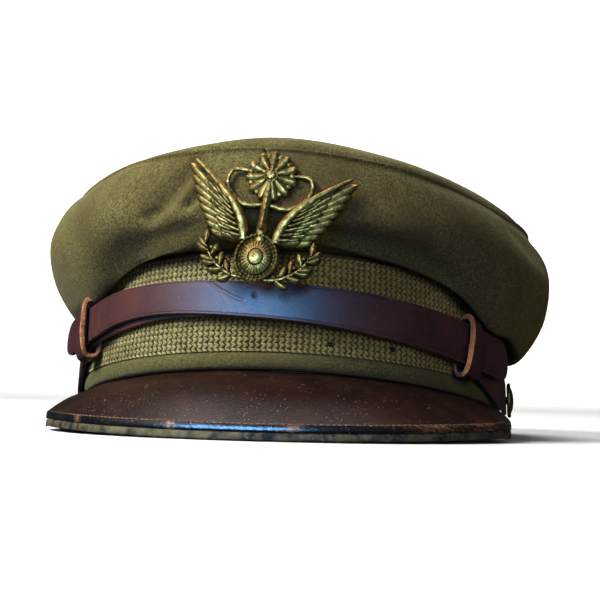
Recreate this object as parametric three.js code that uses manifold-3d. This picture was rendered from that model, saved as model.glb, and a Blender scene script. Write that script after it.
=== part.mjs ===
// A peaked service cap of olive wool with a woven band, a leather peak, a two-layer chin strap,
// two brass side buttons and a cast brass badge.
// Millimetres, +Z up, the peak points along -Y, +X is the right of the front view.
// The cap is worked out upright, with the lower edge of its band near z = 0, and is then tipped
// back by REST_PITCH, so that the peak's front edge and the back of the band lie on z = 0.
import * as THREE from 'three';
import * as BufferGeometryUtils from 'three/addons/utils/BufferGeometryUtils.js';
import Module from 'manifold-3d';

// Resting attitude and origin
const REST_PITCH = 7.4;
const ORIGIN_SHIFT = { x: -1.12, y: 4.48, z: 13.65 };
const GAP = 0.3;

// Facets round the cap: one each STEP_TURN degrees
const STEP_TURN = 7.5;
const ROUND_STEPS = 360 / STEP_TURN;

// Cap band: an oval tube of cloth, narrower at its top, whose lower edge dips at the sides
const BAND_HALF_WIDTH = 92.4;
const BAND_HALF_LENGTH = 107.1;
const BAND_HEIGHT = 48.4;
const BAND_TAPER = 2.5;
const BAND_SIDE_DIP = 2.8;
const BAND_WALL = 2.6;

// Woven braid round the band
const BRAID_LOW = 6.5;
const BRAID_HIGH = 46.9;
const BRAID_THICKNESS = 1.0;
const BRAID_FACE = GAP + BRAID_THICKNESS;
const BRAID_HOLE_DIAMETER = 1.8;
const BRAID_HOLES = [
  { turn: 17.1, height: 11.3 },
  { turn: 33.5, height: 11.4 },
];

// Crown cloth, quarters and top panel
const CLOTH = 2.0;
const SIDE_SEAM_TURN = 13 * STEP_TURN;
const TOP_CENTRE_HEIGHT = 84;
const QUARTER_ROWS = 10;

// Peak, two layers of leather
const PEAK_LAYER = 3.0;
const PEAK_LAYER_GAP = 0.5;
const PEAK_END_TURN = 77;
const PEAK_HALF_WIDTH = 104.5;
const PEAK_REACH = 111;
const PEAK_CENTRE = { x: 1.7, y: -30 };
const PEAK_DROP = 25.9;
const PEAK_BOW = 17.6;
const PEAK_CORNER_SWEEP = 1.13;
const PEAK_CORNER = { x: 102.5, y: -56, z: -15.6 };
const PEAK_END_REACH = 2.4;
const PEAK_BELLY = 2.6;
const PEAK_STEPS = 34;
const PEAK_FOOT = 0.035;

// Chin strap leather
const STRAP_THICKNESS = 2.0;
const STRAP_UNDER_FACE = BRAID_FACE + GAP;
const STRAP_OVER_FACE = STRAP_UNDER_FACE + STRAP_THICKNESS + GAP;
const STRAP_TAB = { width: 12.6, reach: 5.7, taperTurn: 20 };
const STRAP_CURVE_RADIUS = BAND_HALF_WIDTH + 4;

// Keepers: leather loops with room above, below and in front of the straps
const KEEPER_WIDTH = 9;
const KEEPER_WALL = 1.5;
const KEEPER_BACK = 1.0;
const KEEPER_TURN = 56;
const KEEPER_HIGH = 10.2;
const KEEPER_LOW = -12;
const KEEPER_ROOM = 1.0;
const KEEPER_CORNER = 1.6;

// Side buttons, a domed face with a rim on a short shank
const BUTTONS = {
  right: { turn: -97, height: 3.4 },
  left: { turn: 91, height: 3.0 },
};
const BUTTON_RADIUS = 7.8;
const BUTTON_HOLE_RADIUS = 2.2;
const BUTTON_SHANK_RADIUS = 1.7;

// Badge, worked out flat and then bent round the crown and leaned back
const BADGE_CENTRE = { x: 1.5, y: -120.8, z: 58.5 };
const BADGE_LEAN = 6;
const BADGE_ROLL = 7;
const BADGE_BEND_RADIUS = 190;
const BADGE_PIVOT = 17;
const BADGE_POST = { y: 22, radius: 1.5, length: 0.6 };

// Crown sections, one each 30 degrees from the front by way of +X. Offsets are measured outward
// from the oval of the band's lower edge, heights from z = 0.
// droop: lowest fold of the underside, bulge: widest point, seam: where the top panel is sewn on,
// roll: how far the top panel stands above its seam
const CROWN_SECTIONS = [
  { droopOff: 6, droopZ: 51, bulgeOff: 12.5, bulgeZ: 64, seamOff: 7, seamZ: 88.5, roll: 8.5 },
  { droopOff: 8, droopZ: 47, bulgeOff: 16.5, bulgeZ: 62, seamOff: 9, seamZ: 84.5, roll: 8 },
  { droopOff: 9, droopZ: 34, bulgeOff: 20, bulgeZ: 57, seamOff: 7.5, seamZ: 78, roll: 8.5 },
  { droopOff: 7.5, droopZ: 22.5, bulgeOff: 21.3, bulgeZ: 54.5, seamOff: 10, seamZ: 78, roll: 7 },
  { droopOff: 9, droopZ: 26, bulgeOff: 22, bulgeZ: 56, seamOff: 11, seamZ: 80, roll: 5 },
  { droopOff: 9, droopZ: 36, bulgeOff: 21.5, bulgeZ: 61, seamOff: 11, seamZ: 81, roll: 4 },
  { droopOff: 9, droopZ: 41, bulgeOff: 21, bulgeZ: 63, seamOff: 11, seamZ: 81, roll: 4 },
  { droopOff: 9, droopZ: 39, bulgeOff: 20, bulgeZ: 64, seamOff: 10, seamZ: 82, roll: 4 },
  { droopOff: 8.5, droopZ: 34, bulgeOff: 18.5, bulgeZ: 65, seamOff: 8, seamZ: 83, roll: 3 },
  { droopOff: 5.5, droopZ: 31, bulgeOff: 19, bulgeZ: 64, seamOff: 7, seamZ: 84, roll: 2.5 },
  { droopOff: 6.5, droopZ: 35, bulgeOff: 18.5, bulgeZ: 65, seamOff: 4.5, seamZ: 84.5, roll: 2.5 },
  { droopOff: 8, droopZ: 46, bulgeOff: 16, bulgeZ: 65, seamOff: 5, seamZ: 88, roll: 5 },
];

// Soft dents of the crown's sides: turn in degrees, rise from band (0) to seam (1), depth in mm,
// half widths in the same two measures
const CROWN_DENTS = [
  { turn: -27, rise: 0.66, depth: 2.6, turnWidth: 6, riseWidth: 0.16 },
  { turn: -34, rise: 0.45, depth: 2.0, turnWidth: 11, riseWidth: 0.1 },
  { turn: 20, rise: 0.5, depth: 1.6, turnWidth: 14, riseWidth: 0.12 },
  { turn: 48, rise: 0.6, depth: 1.8, turnWidth: 20, riseWidth: 0.12 },
  { turn: 83, rise: 0.9, depth: 1.0, turnWidth: 7, riseWidth: 0.06 },
  { turn: 150, rise: 0.7, depth: 2.5, turnWidth: 16, riseWidth: 0.16 },
  { turn: -140, rise: 0.65, depth: 2.2, turnWidth: 18, riseWidth: 0.16 },
];

// How the top panel's roll fades from the seam (across 1) to the centre (across 0)
const TOP_ROLL = [
  { across: 1.0, share: 0.0 },
  { across: 0.965, share: 0.5 },
  { across: 0.91, share: 0.85 },
  { across: 0.82, share: 1.0 },
  { across: 0.62, share: 0.75 },
  { across: 0.35, share: 0.3 },
  { across: 0.0, share: 0.0 },
];

// Middle line of each strap on the band: turn in degrees, height in mm, lift off the layer below
const STRAP_OVER_LINE = [
  { turn: -70.5, height: 19.2, lift: 4.6 },
  { turn: -65, height: 20.0, lift: 3.0 },
  { turn: -57, height: 21.4, lift: 2.0 },
  { turn: -51, height: 23.2, lift: 1.5 },
  { turn: -44, height: 26.2, lift: 0.5 },
  { turn: -38, height: 27.6, lift: 0 },
  { turn: -31, height: 28.3, lift: 0 },
  { turn: -24, height: 28.5, lift: 0 },
  { turn: -15, height: 28.1, lift: 0 },
  { turn: -5, height: 27.3, lift: 0 },
  { turn: 9, height: 26.1, lift: 0 },
  { turn: 24, height: 24.3, lift: 0 },
  { turn: 32, height: 22.9, lift: 0 },
  { turn: 40, height: 21.4, lift: 0.2 },
  { turn: 49, height: 19.2, lift: 1.0 },
  { turn: 57, height: 17.0, lift: 1.6 },
  { turn: 66, height: 15.8, lift: 1.7 },
  { turn: 76.5, height: 15.4, lift: 1.8 },
];
const STRAP_UNDER_LINE = [
  { turn: -97, height: 3.4, lift: 0 },
  { turn: -84, height: 4.2, lift: 0 },
  { turn: -76, height: 5.8, lift: 0 },
  { turn: -70, height: 9.2, lift: 0.4 },
  { turn: -64.5, height: 14.4, lift: 1.0 },
  { turn: -60, height: 18.0, lift: 1.6 },
  { turn: -56, height: 20.4, lift: 1.6 },
  { turn: -52, height: 21.9, lift: 1.4 },
  { turn: -48, height: 23.1, lift: 0.8 },
  { turn: -44, height: 24.0, lift: 0.2 },
  { turn: -38, height: 25.1, lift: 0 },
  { turn: -31, height: 26.4, lift: 0 },
  { turn: -24, height: 27.3, lift: 0 },
  { turn: -15, height: 27.6, lift: 0 },
  { turn: -5, height: 27.1, lift: 0 },
  { turn: 9, height: 26.1, lift: 0 },
  { turn: 24, height: 24.3, lift: 0 },
  { turn: 32, height: 22.9, lift: 0 },
  { turn: 40, height: 21.4, lift: 0.2 },
  { turn: 49, height: 19.2, lift: 1.0 },
  { turn: 57, height: 16.6, lift: 1.6 },
  { turn: 63, height: 13.2, lift: 1.0 },
  { turn: 69, height: 9.4, lift: 0.2 },
  { turn: 77, height: 5.4, lift: 0 },
  { turn: 91, height: 3.0, lift: 0 },
];

// Width of both straps, which have shrunk and curled most to the right of the badge's place
const STRAP_WIDTHS = [
  { turn: -110, width: 16.2 },
  { turn: -70, width: 16.2 },
  { turn: -57, width: 15.4 },
  { turn: -45, width: 14.2 },
  { turn: -30, width: 13.3 },
  { turn: -15, width: 13.9 },
  { turn: 0, width: 14.8 },
  { turn: 12, width: 15.5 },
  { turn: 25, width: 16.6 },
  { turn: 40, width: 17.4 },
  { turn: 110, width: 17.4 },
];

const rad = THREE.MathUtils.degToRad;
const lerp = THREE.MathUtils.lerp;
const vec = (x, y, z) => new THREE.Vector3(x, y, z);

const wasm = await Module();
wasm.setup();

// Shared mesh helpers

function geometryFrom(points, triangles) {
  const geometry = new THREE.BufferGeometry();
  const positions = points.flatMap((p) => [p.x, p.y, p.z]);
  geometry.setAttribute('position', new THREE.Float32BufferAttribute(positions, 3));
  geometry.setIndex(triangles.flat());
  return geometry;
}

// A solid swept through a row of closed sections with the same number of points. The sections run
// round their centre clockwise when seen against the direction of the sweep.
function sweepSolid(sections, closed = false) {
  const count = sections[0].length;
  const points = sections.flat();
  const triangles = [];
  const spans = closed ? sections.length : sections.length - 1;
  for (let i = 0; i < spans; i += 1) {
    const here = i * count;
    const next = ((i + 1) % sections.length) * count;
    for (let j = 0; j < count; j += 1) {
      const k = (j + 1) % count;
      triangles.push([here + j, here + k, next + k], [here + j, next + k, next + j]);
    }
  }
  if (!closed) {
    const last = (sections.length - 1) * count;
    for (let j = 1; j < count - 1; j += 1) {
      triangles.push([0, j + 1, j], [last, last + j, last + j + 1]);
    }
  }
  return geometryFrom(points, triangles);
}

// A sheet of cloth with a wall: faceAt(u, v) is its outer face, inwardAt(u, v) the way to its inner
// face. It is closed round when wrap is set, and ends in one point at the last v when pole is set.
function sheetSolid({ faceAt, inwardAt, us, vs, wrap = false, pole = false }) {
  const rows = pole ? vs.length - 1 : vs.length;
  const points = [];
  const outer = (i, j) => ((i % us.length) * rows + j) * 2;
  const inner = (i, j) => outer(i, j) + 1;
  for (const u of us) {
    for (let j = 0; j < rows; j += 1) {
      const face = faceAt(u, vs[j]);
      points.push(face, face.clone().add(inwardAt(u, vs[j])));
    }
  }
  const triangles = [];
  const quad = (a, b, c, d) => triangles.push([a, b, c], [a, c, d]);
  const spans = wrap ? us.length : us.length - 1;
  for (let i = 0; i < spans; i += 1) {
    for (let j = 0; j < rows - 1; j += 1) {
      quad(outer(i, j), outer(i + 1, j), outer(i + 1, j + 1), outer(i, j + 1));
      quad(inner(i, j), inner(i, j + 1), inner(i + 1, j + 1), inner(i + 1, j));
    }
    quad(outer(i, 0), inner(i, 0), inner(i + 1, 0), outer(i + 1, 0));
    if (!pole) {
      const top = rows - 1;
      quad(outer(i, top), outer(i + 1, top), inner(i + 1, top), inner(i, top));
    }
  }
  if (pole) {
    const last = vs[vs.length - 1];
    const face = faceAt(us[0], last);
    const tip = points.length;
    points.push(face, face.clone().add(inwardAt(us[0], last)));
    for (let i = 0; i < spans; i += 1) {
      triangles.push([outer(i, rows - 1), outer(i + 1, rows - 1), tip]);
      triangles.push([inner(i, rows - 1), tip + 1, inner(i + 1, rows - 1)]);
    }
  }
  if (!wrap) {
    const end = us.length - 1;
    for (let j = 0; j < rows - 1; j += 1) {
      quad(outer(0, j), outer(0, j + 1), inner(0, j + 1), inner(0, j));
      quad(outer(end, j), inner(end, j), inner(end, j + 1), outer(end, j + 1));
    }
  }
  return geometryFrom(points, triangles);
}

function toManifold(geometry) {
  const bare = geometry.clone();
  bare.deleteAttribute('normal');
  bare.deleteAttribute('uv');
  const merged = BufferGeometryUtils.mergeVertices(bare, 1e-4);
  return new wasm.Manifold(new wasm.Mesh({
    numProp: 3,
    vertProperties: new Float32Array(merged.attributes.position.array),
    triVerts: new Uint32Array(merged.index.array),
  }));
}

function toGeometry(solid) {
  const mesh = solid.getMesh();
  const geometry = new THREE.BufferGeometry();
  geometry.setAttribute('position', new THREE.BufferAttribute(mesh.vertProperties, 3));
  geometry.setIndex(new THREE.BufferAttribute(mesh.triVerts, 1));
  return geometry;
}

function spaced(from, to, spans) {
  return Array.from({ length: spans + 1 }, (_, i) => lerp(from, to, i / spans));
}

// Smooth value of a named column between the rows of a table
function cubic(before, from, to, after, t) {
  const slopeFrom = (to - before) / 2;
  const slopeTo = (after - from) / 2;
  return (2 * t ** 3 - 3 * t ** 2 + 1) * from + (t ** 3 - 2 * t ** 2 + t) * slopeFrom
    + (3 * t ** 2 - 2 * t ** 3) * to + (t ** 3 - t ** 2) * slopeTo;
}

function alongRows(rows, key, at, column) {
  const rising = rows[rows.length - 1][key] > rows[0][key];
  let i = 0;
  while (i < rows.length - 2 && (rising ? at > rows[i + 1][key] : at < rows[i + 1][key])) {
    i += 1;
  }
  const t = (at - rows[i][key]) / (rows[i + 1][key] - rows[i][key]);
  const before = rows[Math.max(i - 1, 0)][column];
  const after = rows[Math.min(i + 2, rows.length - 1)][column];
  return cubic(before, rows[i][column], rows[i + 1][column], after, t);
}

function roundCrown(turn, column) {
  const count = CROWN_SECTIONS.length;
  const place = (((turn % 360) + 360) % 360) / (360 / count);
  const i = Math.floor(place);
  const row = (k) => CROWN_SECTIONS[(i + k + count) % count][column];
  return cubic(row(-1), row(0), row(1), row(2), place - i);
}

// The band's face: turn 0 is the front, 90 is +X; out is the distance outward from the cloth

function sideDip(turn) {
  return -BAND_SIDE_DIP * Math.sin(rad(turn)) ** 2;
}

function ovalPoint(turn, out, height) {
  const x = (BAND_HALF_WIDTH + out) * Math.sin(rad(turn));
  const y = -(BAND_HALF_LENGTH + out) * Math.cos(rad(turn));
  return vec(x, y, height);
}

function bandPoint(turn, out, height) {
  const taper = BAND_TAPER * (height - sideDip(turn)) / BAND_HEIGHT;
  return ovalPoint(turn, out - taper, height);
}

function ringOnBand(profile) {
  const sections = spaced(0, 360, ROUND_STEPS).slice(0, -1).map((turn) => profile.map(
    ({ out, height }) => bandPoint(turn, out, height + sideDip(turn)),
  ));
  return sweepSolid(sections, true);
}

function makeBand() {
  return ringOnBand([
    { out: -BAND_WALL, height: 0.3 },
    { out: -BAND_WALL, height: BAND_HEIGHT },
    { out: 0, height: BAND_HEIGHT },
    { out: 0, height: BRAID_LOW + 0.4 },
    { out: 0.9, height: 5.6 },
    { out: 1.2, height: 3.2 },
    { out: 0.2, height: 0.4 },
    { out: -1.0, height: 0 },
  ]);
}

function makeBraid() {
  const face = BRAID_FACE;
  const strip = ringOnBand([
    { out: GAP, height: BRAID_LOW + 0.6 },
    { out: GAP, height: BRAID_HIGH },
    { out: face, height: BRAID_HIGH - 0.4 },
    { out: face, height: (BRAID_LOW + BRAID_HIGH) / 2 },
    { out: face, height: BRAID_LOW + 0.6 },
  ]);
  let solid = toManifold(strip);
  for (const { turn, height } of BRAID_HOLES) {
    const drill = new THREE.CylinderGeometry(BRAID_HOLE_DIAMETER / 2, BRAID_HOLE_DIAMETER / 2, 4, 8);
    const centre = bandPoint(turn, face / 2, height);
    const outward = vec(centre.x / BAND_HALF_WIDTH ** 2, centre.y / BAND_HALF_LENGTH ** 2, 0);
    const aim = new THREE.Quaternion().setFromUnitVectors(vec(0, 1, 0), outward.normalize());
    drill.applyQuaternion(aim);
    drill.translate(centre.x, centre.y, centre.z);
    solid = solid.subtract(toManifold(drill));
  }
  return toGeometry(solid);
}

// Crown

function crownProfile(turn) {
  const dip = sideDip(turn);
  const start = BAND_HEIGHT + GAP + dip;
  const droop = { off: roundCrown(turn, 'droopOff'), z: roundCrown(turn, 'droopZ') };
  const bulge = { off: roundCrown(turn, 'bulgeOff'), z: roundCrown(turn, 'bulgeZ') };
  const seam = { off: roundCrown(turn, 'seamOff'), z: roundCrown(turn, 'seamZ') };
  const lipOff = 2.4 - BAND_TAPER;
  return new THREE.CatmullRomCurve3([
    vec(-BAND_WALL - BAND_TAPER, start, 0),
    vec(lipOff, start + 0.1, 0),
    vec(lerp(lipOff, droop.off, 0.55), lerp(start, droop.z, 0.6), 0),
    vec(droop.off, droop.z, 0),
    vec(lerp(droop.off, bulge.off, 0.86), lerp(droop.z, bulge.z, 0.5), 0),
    vec(bulge.off, bulge.z, 0),
    vec(lerp(bulge.off, seam.off, 0.42), lerp(bulge.z, seam.z, 0.62), 0),
    vec(seam.off, seam.z, 0),
  ], false, 'centripetal');
}

function dentDepth(turn, rise) {
  let depth = 0;
  for (const dent of CROWN_DENTS) {
    const across = (((turn - dent.turn + 540) % 360) - 180) / dent.turnWidth;
    const up = (rise - dent.rise) / dent.riseWidth;
    depth += dent.depth * Math.exp(-(across ** 2) - up ** 2);
  }
  return depth;
}

function quarterFace(turn, rise) {
  const at = crownProfile(turn).getPoint(rise);
  return ovalPoint(turn, at.x - dentDepth(turn, rise), at.y);
}

function topFace(turn, across) {
  const seam = ovalPoint(turn, roundCrown(turn, 'seamOff'), roundCrown(turn, 'seamZ'));
  const roll = roundCrown(turn, 'roll') * alongRows(TOP_ROLL, 'across', across, 'share');
  const height = lerp(TOP_CENTRE_HEIGHT, seam.z, across ** 2) + roll;
  return vec(seam.x * across, seam.y * across, height);
}

function faceNormal(faceAt, u, v, du, dv, vLow, vHigh) {
  const alongU = faceAt(u + du, v).sub(faceAt(u - du, v));
  const alongV = faceAt(u, Math.min(v + dv, vHigh)).sub(faceAt(u, Math.max(v - dv, vLow)));
  return alongU.cross(alongV).normalize();
}

function quarterNormal(turn, rise) {
  return faceNormal(quarterFace, turn, rise, 0.5, 0.01, 0, 1);
}

function topNormal(turn, across) {
  if (across < 0.01) {
    return vec(0, 0, 1);
  }
  return faceNormal(topFace, turn, across, 0.5, 0.01, 0, 1).negate();
}

// Both cloths are mitred where they meet at the seam
function seamInward(turn) {
  const side = quarterNormal(turn, 1);
  const top = topNormal(turn, 1);
  const middle = side.clone().add(top).normalize();
  return middle.multiplyScalar(-CLOTH / Math.max(middle.dot(side), 0.6));
}

function quarterInward(turn, rise) {
  return rise > 0.999 ? seamInward(turn) : quarterNormal(turn, rise).multiplyScalar(-CLOTH);
}

function topInward(turn, across) {
  return across > 0.999 ? seamInward(turn) : topNormal(turn, across).multiplyScalar(-CLOTH);
}

function makeQuarter(fromTurn, toTurn) {
  const edge = 0.5 * GAP / rad(1) / BAND_HALF_WIDTH;
  const between = spaced(fromTurn, toTurn, (toTurn - fromTurn) / STEP_TURN).slice(1, -1);
  const drop = (point, rise) => (rise > 0.999 ? point.setZ(point.z - GAP / 2) : point);
  return sheetSolid({
    faceAt: (turn, rise) => drop(quarterFace(turn, rise), rise),
    inwardAt: quarterInward,
    us: [fromTurn + edge, ...between, toTurn - edge],
    vs: spaced(0, 1, QUARTER_ROWS),
  });
}

function makeTop() {
  const lifted = (turn, across) => {
    const point = topFace(turn, across);
    return across > 0.999 ? point.setZ(point.z + GAP / 2) : point;
  };
  return sheetSolid({
    faceAt: lifted,
    inwardAt: topInward,
    us: spaced(0, 360, ROUND_STEPS).slice(0, -1),
    vs: TOP_ROLL.map((row) => row.across),
    wrap: true,
    pole: true,
  });
}

// Peak

function sweptEdge(sweep) {
  const x = PEAK_HALF_WIDTH * Math.sin(sweep);
  const y = PEAK_CENTRE.y - PEAK_REACH * Math.cos(sweep);
  return vec(x, y, -PEAK_DROP + PEAK_BOW * (1 - Math.cos(sweep)));
}

// Outer edge of the peak from the front (0) to its end at the band (1 or -1)
function peakEdge(along) {
  const share = Math.abs(along);
  const side = Math.sign(along) || 1;
  const cornerStart = 0.72;
  let point;
  if (share <= cornerStart) {
    point = sweptEdge(PEAK_CORNER_SWEEP * share / cornerStart);
  } else {
    const from = sweptEdge(PEAK_CORNER_SWEEP);
    const corner = vec(PEAK_CORNER.x, PEAK_CORNER.y, PEAK_CORNER.z);
    const end = ovalPoint(PEAK_END_TURN, PEAK_END_REACH, sideDip(PEAK_END_TURN) - 1.2);
    const turnIn = new THREE.QuadraticBezierCurve3(from, corner, end);
    point = turnIn.getPoint((share - cornerStart) / (1 - cornerStart));
  }
  const fade = 1 - Math.max(share - cornerStart, 0) / (1 - cornerStart);
  return point.setX(point.x * side + PEAK_CENTRE.x * fade);
}

function peakTop(along, across) {
  const turn = PEAK_END_TURN * along;
  const root = ovalPoint(turn, -BAND_WALL + 0.3, sideDip(turn) - GAP);
  const edge = peakEdge(along);
  const belly = PEAK_BELLY * Math.sin(Math.PI * across) * Math.cos(rad(turn));
  const point = root.clone().lerp(edge, across);
  return point.setZ(point.z + belly);
}

// A layer of the peak. With a foot its lower edge is level for PEAK_FOOT of the way across, so that
// the cap rests on a narrow flat there.
function peakLayer(topDrop, bottomDrop, foot = false) {
  const acrossRows = [0, 0.12, 0.4, 0.72, 1];
  const sections = spaced(-1, 1, PEAK_STEPS).map((along) => {
    const drop = (across, amount) => {
      const point = peakTop(along, across);
      return point.setZ(point.z - amount);
    };
    const above = acrossRows.map((across) => drop(across, topDrop));
    const below = acrossRows.map((across) => drop(across, bottomDrop)).reverse();
    const edge = below[0];
    const inner = drop(1 - PEAK_FOOT, bottomDrop);
    const level = edge.z + (inner.y - edge.y) * Math.tan(rad(REST_PITCH));
    inner.setZ(foot ? Math.min(inner.z, level) : inner.z);
    return [...above, edge, inner, ...below.slice(1)];
  });
  return sweepSolid(sections);
}

// Chin strap: a point given by the turn along its middle line, the distance up across it and the
// distance outward from the band
function strapPoint(line, turn, up, out) {
  const onLine = (at) => bandPoint(at, 0, alongRows(line, 'turn', at, 'height'));
  const here = onLine(turn);
  const lengthways = onLine(turn + 0.5).sub(onLine(turn - 0.5)).normalize();
  const outward = vec(here.x / BAND_HALF_WIDTH ** 2, here.y / BAND_HALF_LENGTH ** 2, 0).normalize();
  outward.setZ(BAND_TAPER / BAND_HEIGHT).normalize();
  const upward = lengthways.clone().cross(outward).normalize();
  if (upward.z < 0) {
    upward.negate();
  }
  return here.addScaledVector(outward, out).addScaledVector(upward, up);
}

function makeStrap(line, face, stations, widthAt) {
  const sections = stations.map((turn) => {
    const half = widthAt(turn) / 2;
    const inner = face + alongRows(line, 'turn', turn, 'lift');
    const outer = inner + STRAP_THICKNESS;
    return [
      strapPoint(line, turn, -half, outer),
      strapPoint(line, turn, -half, inner),
      strapPoint(line, turn, half, inner),
      strapPoint(line, turn, half, outer),
    ];
  });
  return sweepSolid(sections);
}

const strapWidth = (turn) => alongRows(STRAP_WIDTHS, 'turn', turn, 'width');

// Width of a strap whose ends are rounded
function roundedWidth(turn, fromTurn, toTurn) {
  const left = Math.min(turn - fromTurn, toTurn - turn) * rad(1) * STRAP_CURVE_RADIUS;
  const half = strapWidth(turn) / 2;
  const bluntEnd = 0.5;
  return left >= half ? 2 * half : 2 * Math.sqrt(half ** 2 - (half - Math.max(left, bluntEnd)) ** 2);
}

function strapStations(line, middleSpans) {
  const first = line[0].turn;
  const last = line[line.length - 1].turn;
  const ends = [0, 0.6, 1.8, 4.6];
  const near = ends.map((step) => first + step);
  const far = ends.map((step) => last - step).reverse();
  const middle = spaced(near[near.length - 1], far[0], middleSpans).slice(1, -1);
  return { first, last, stations: [...near, ...middle, ...far] };
}

function makeStrapOver() {
  const { first, last, stations } = strapStations(STRAP_OVER_LINE, 26);
  const widthAt = (turn) => roundedWidth(turn, first, last);
  return makeStrap(STRAP_OVER_LINE, STRAP_OVER_FACE, stations, widthAt);
}

// The lower strap ends in a narrower round tab under each button, with a hole for its shank
function makeStrapUnder() {
  const tabTurn = STRAP_TAB.reach / (rad(1) * BAND_HALF_WIDTH);
  const line = STRAP_UNDER_LINE.map((row) => ({ ...row }));
  line[0].turn -= tabTurn;
  line[line.length - 1].turn += tabTurn;
  const { first, last, stations } = strapStations(line, 34);
  const tabWidth = (turn) => {
    const fullness = Math.min((turn - first) / STRAP_TAB.taperTurn, (last - turn) / STRAP_TAB.taperTurn, 1);
    return Math.min(roundedWidth(turn, first, last), lerp(STRAP_TAB.width, strapWidth(turn), fullness));
  };
  let solid = toManifold(makeStrap(line, STRAP_UNDER_FACE, stations, tabWidth));
  for (const { turn, height } of Object.values(BUTTONS)) {
    const drillLength = 12;
    const drill = new THREE.CylinderGeometry(BUTTON_HOLE_RADIUS, BUTTON_HOLE_RADIUS, drillLength, 10);
    solid = solid.subtract(toManifold(placeOnBand(drill, turn, height, 2)));
  }
  return toGeometry(solid);
}

// Turns a geometry built about +Y so that it points straight out of the band
function placeOnBand(geometry, turn, height, out) {
  const centre = bandPoint(turn, out, height);
  const outward = vec(centre.x / BAND_HALF_WIDTH ** 2, centre.y / BAND_HALF_LENGTH ** 2, 0);
  const aim = new THREE.Quaternion().setFromUnitVectors(vec(0, 1, 0), outward.normalize());
  return geometry.applyQuaternion(aim).translate(centre.x, centre.y, centre.z);
}

// A flat leather loop round both straps. Its section's corners are cut, so that its wall turns
// from facing outward to facing up or down in two steps.
function makeKeeper(side) {
  const line = STRAP_OVER_LINE;
  const halfTurn = KEEPER_WIDTH / 2 / (rad(1) * STRAP_CURVE_RADIUS);
  const near = side * KEEPER_TURN - halfTurn;
  const far = side * KEEPER_TURN + halfTurn;
  const lift = alongRows(line, 'turn', side * KEEPER_TURN, 'lift');
  const back = BRAID_FACE + GAP * 1.2;
  const innerBack = back + KEEPER_BACK;
  const innerFront = STRAP_OVER_FACE + STRAP_THICKNESS + lift + KEEPER_ROOM;
  const [high, low, corner] = [KEEPER_HIGH, KEEPER_LOW, KEEPER_CORNER];
  const edgeLean = 0.25;
  const cornerOut = 0.35;
  const cornerUp = 0.94;
  const path = [
    { out: innerBack, up: low + corner, toOut: -1, toUp: -edgeLean },
    { out: innerBack, up: high - corner, toOut: -1, toUp: edgeLean },
    { out: innerBack + corner, up: high, toOut: -cornerOut, toUp: cornerUp },
    { out: innerFront - corner, up: high, toOut: cornerOut, toUp: cornerUp },
    { out: innerFront, up: high - corner, toOut: 1, toUp: edgeLean },
    { out: innerFront, up: 0, toOut: 1, toUp: 0 },
    { out: innerFront, up: low + corner, toOut: 1, toUp: -edgeLean },
    { out: innerFront - corner, up: low, toOut: cornerOut, toUp: -cornerUp },
    { out: innerBack + corner, up: low, toOut: -cornerOut, toUp: -cornerUp },
  ];
  const sections = path.map(({ out, up, toOut, toUp }) => {
    const wall = out === innerBack ? KEEPER_BACK : KEEPER_WALL;
    const outerOut = out + wall * toOut;
    const outerUp = up + wall * toUp;
    return [
      strapPoint(line, near, up, out), strapPoint(line, far, up, out),
      strapPoint(line, far, outerUp, outerOut), strapPoint(line, near, outerUp, outerOut),
    ];
  });
  return sweepSolid(sections, true);
}

function makeButton({ turn, height }) {
  const seat = STRAP_UNDER_FACE + STRAP_THICKNESS + GAP;
  const shankFoot = BRAID_FACE + 2 * GAP;
  const profile = [
    [0, shankFoot], [BUTTON_SHANK_RADIUS, shankFoot], [BUTTON_SHANK_RADIUS, seat],
    [BUTTON_RADIUS - 0.6, seat + 0.1], [BUTTON_RADIUS, seat + 0.7], [BUTTON_RADIUS, seat + 1.4],
    [BUTTON_RADIUS - 0.9, seat + 1.9], [BUTTON_RADIUS - 1.4, seat + 1.7],
    [BUTTON_RADIUS - 3.2, seat + 2.5], [BUTTON_RADIUS - 5.6, seat + 3.0], [0, seat + 3.1],
  ].map(([x, y]) => new THREE.Vector2(x, y));
  const turned = BufferGeometryUtils.mergeVertices(stripped(new THREE.LatheGeometry(profile, 20)), 1e-4);
  return placeOnBand(turned, turn, height, 0);
}

function stripped(geometry) {
  geometry.deleteAttribute('normal');
  geometry.deleteAttribute('uv');
  return geometry;
}

// Badge: raised blades for feathers and leaves, joined into one casting.
// Flat frame: x right, y up, z towards the viewer; the back lies on z = 0.

// A blade along a bent middle line: stations of x, y, half width and ridge height. A thick one has
// upright sides below its ridge.
function blade(stations, thick = false) {
  const middles = stations.map((s) => new THREE.Vector2(s.x, s.y));
  const sections = stations.map((s, i) => {
    const from = middles[Math.max(i - 1, 0)];
    const to = middles[Math.min(i + 1, stations.length - 1)];
    const along = to.clone().sub(from).normalize();
    const side = new THREE.Vector2(-along.y, along.x).multiplyScalar(s.half);
    const edge = (sign, height) => vec(s.x + sign * side.x, s.y + sign * side.y, height);
    const ridge = vec(s.x, s.y, s.ridge);
    return thick
      ? [edge(1, 0), edge(1, s.ridge / 2), ridge, edge(-1, s.ridge / 2), edge(-1, 0)]
      : [edge(1, 0), ridge, edge(-1, 0)];
  });
  return sweepSolid(sections);
}

const FEATHER_SHARES = [
  { at: 0, half: 0.36, rise: 0.9 },
  { at: 0.5, half: 0.5, rise: 1 },
  { at: 0.84, half: 0.38, rise: 0.85 },
  { at: 1, half: 0.07, rise: 0.4 },
];
const LEAF_SHARES = [
  { at: 0, half: 0.2, rise: 0.7 },
  { at: 0.5, half: 0.5, rise: 1 },
  { at: 1, half: 0.06, rise: 0.4 },
];

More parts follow.
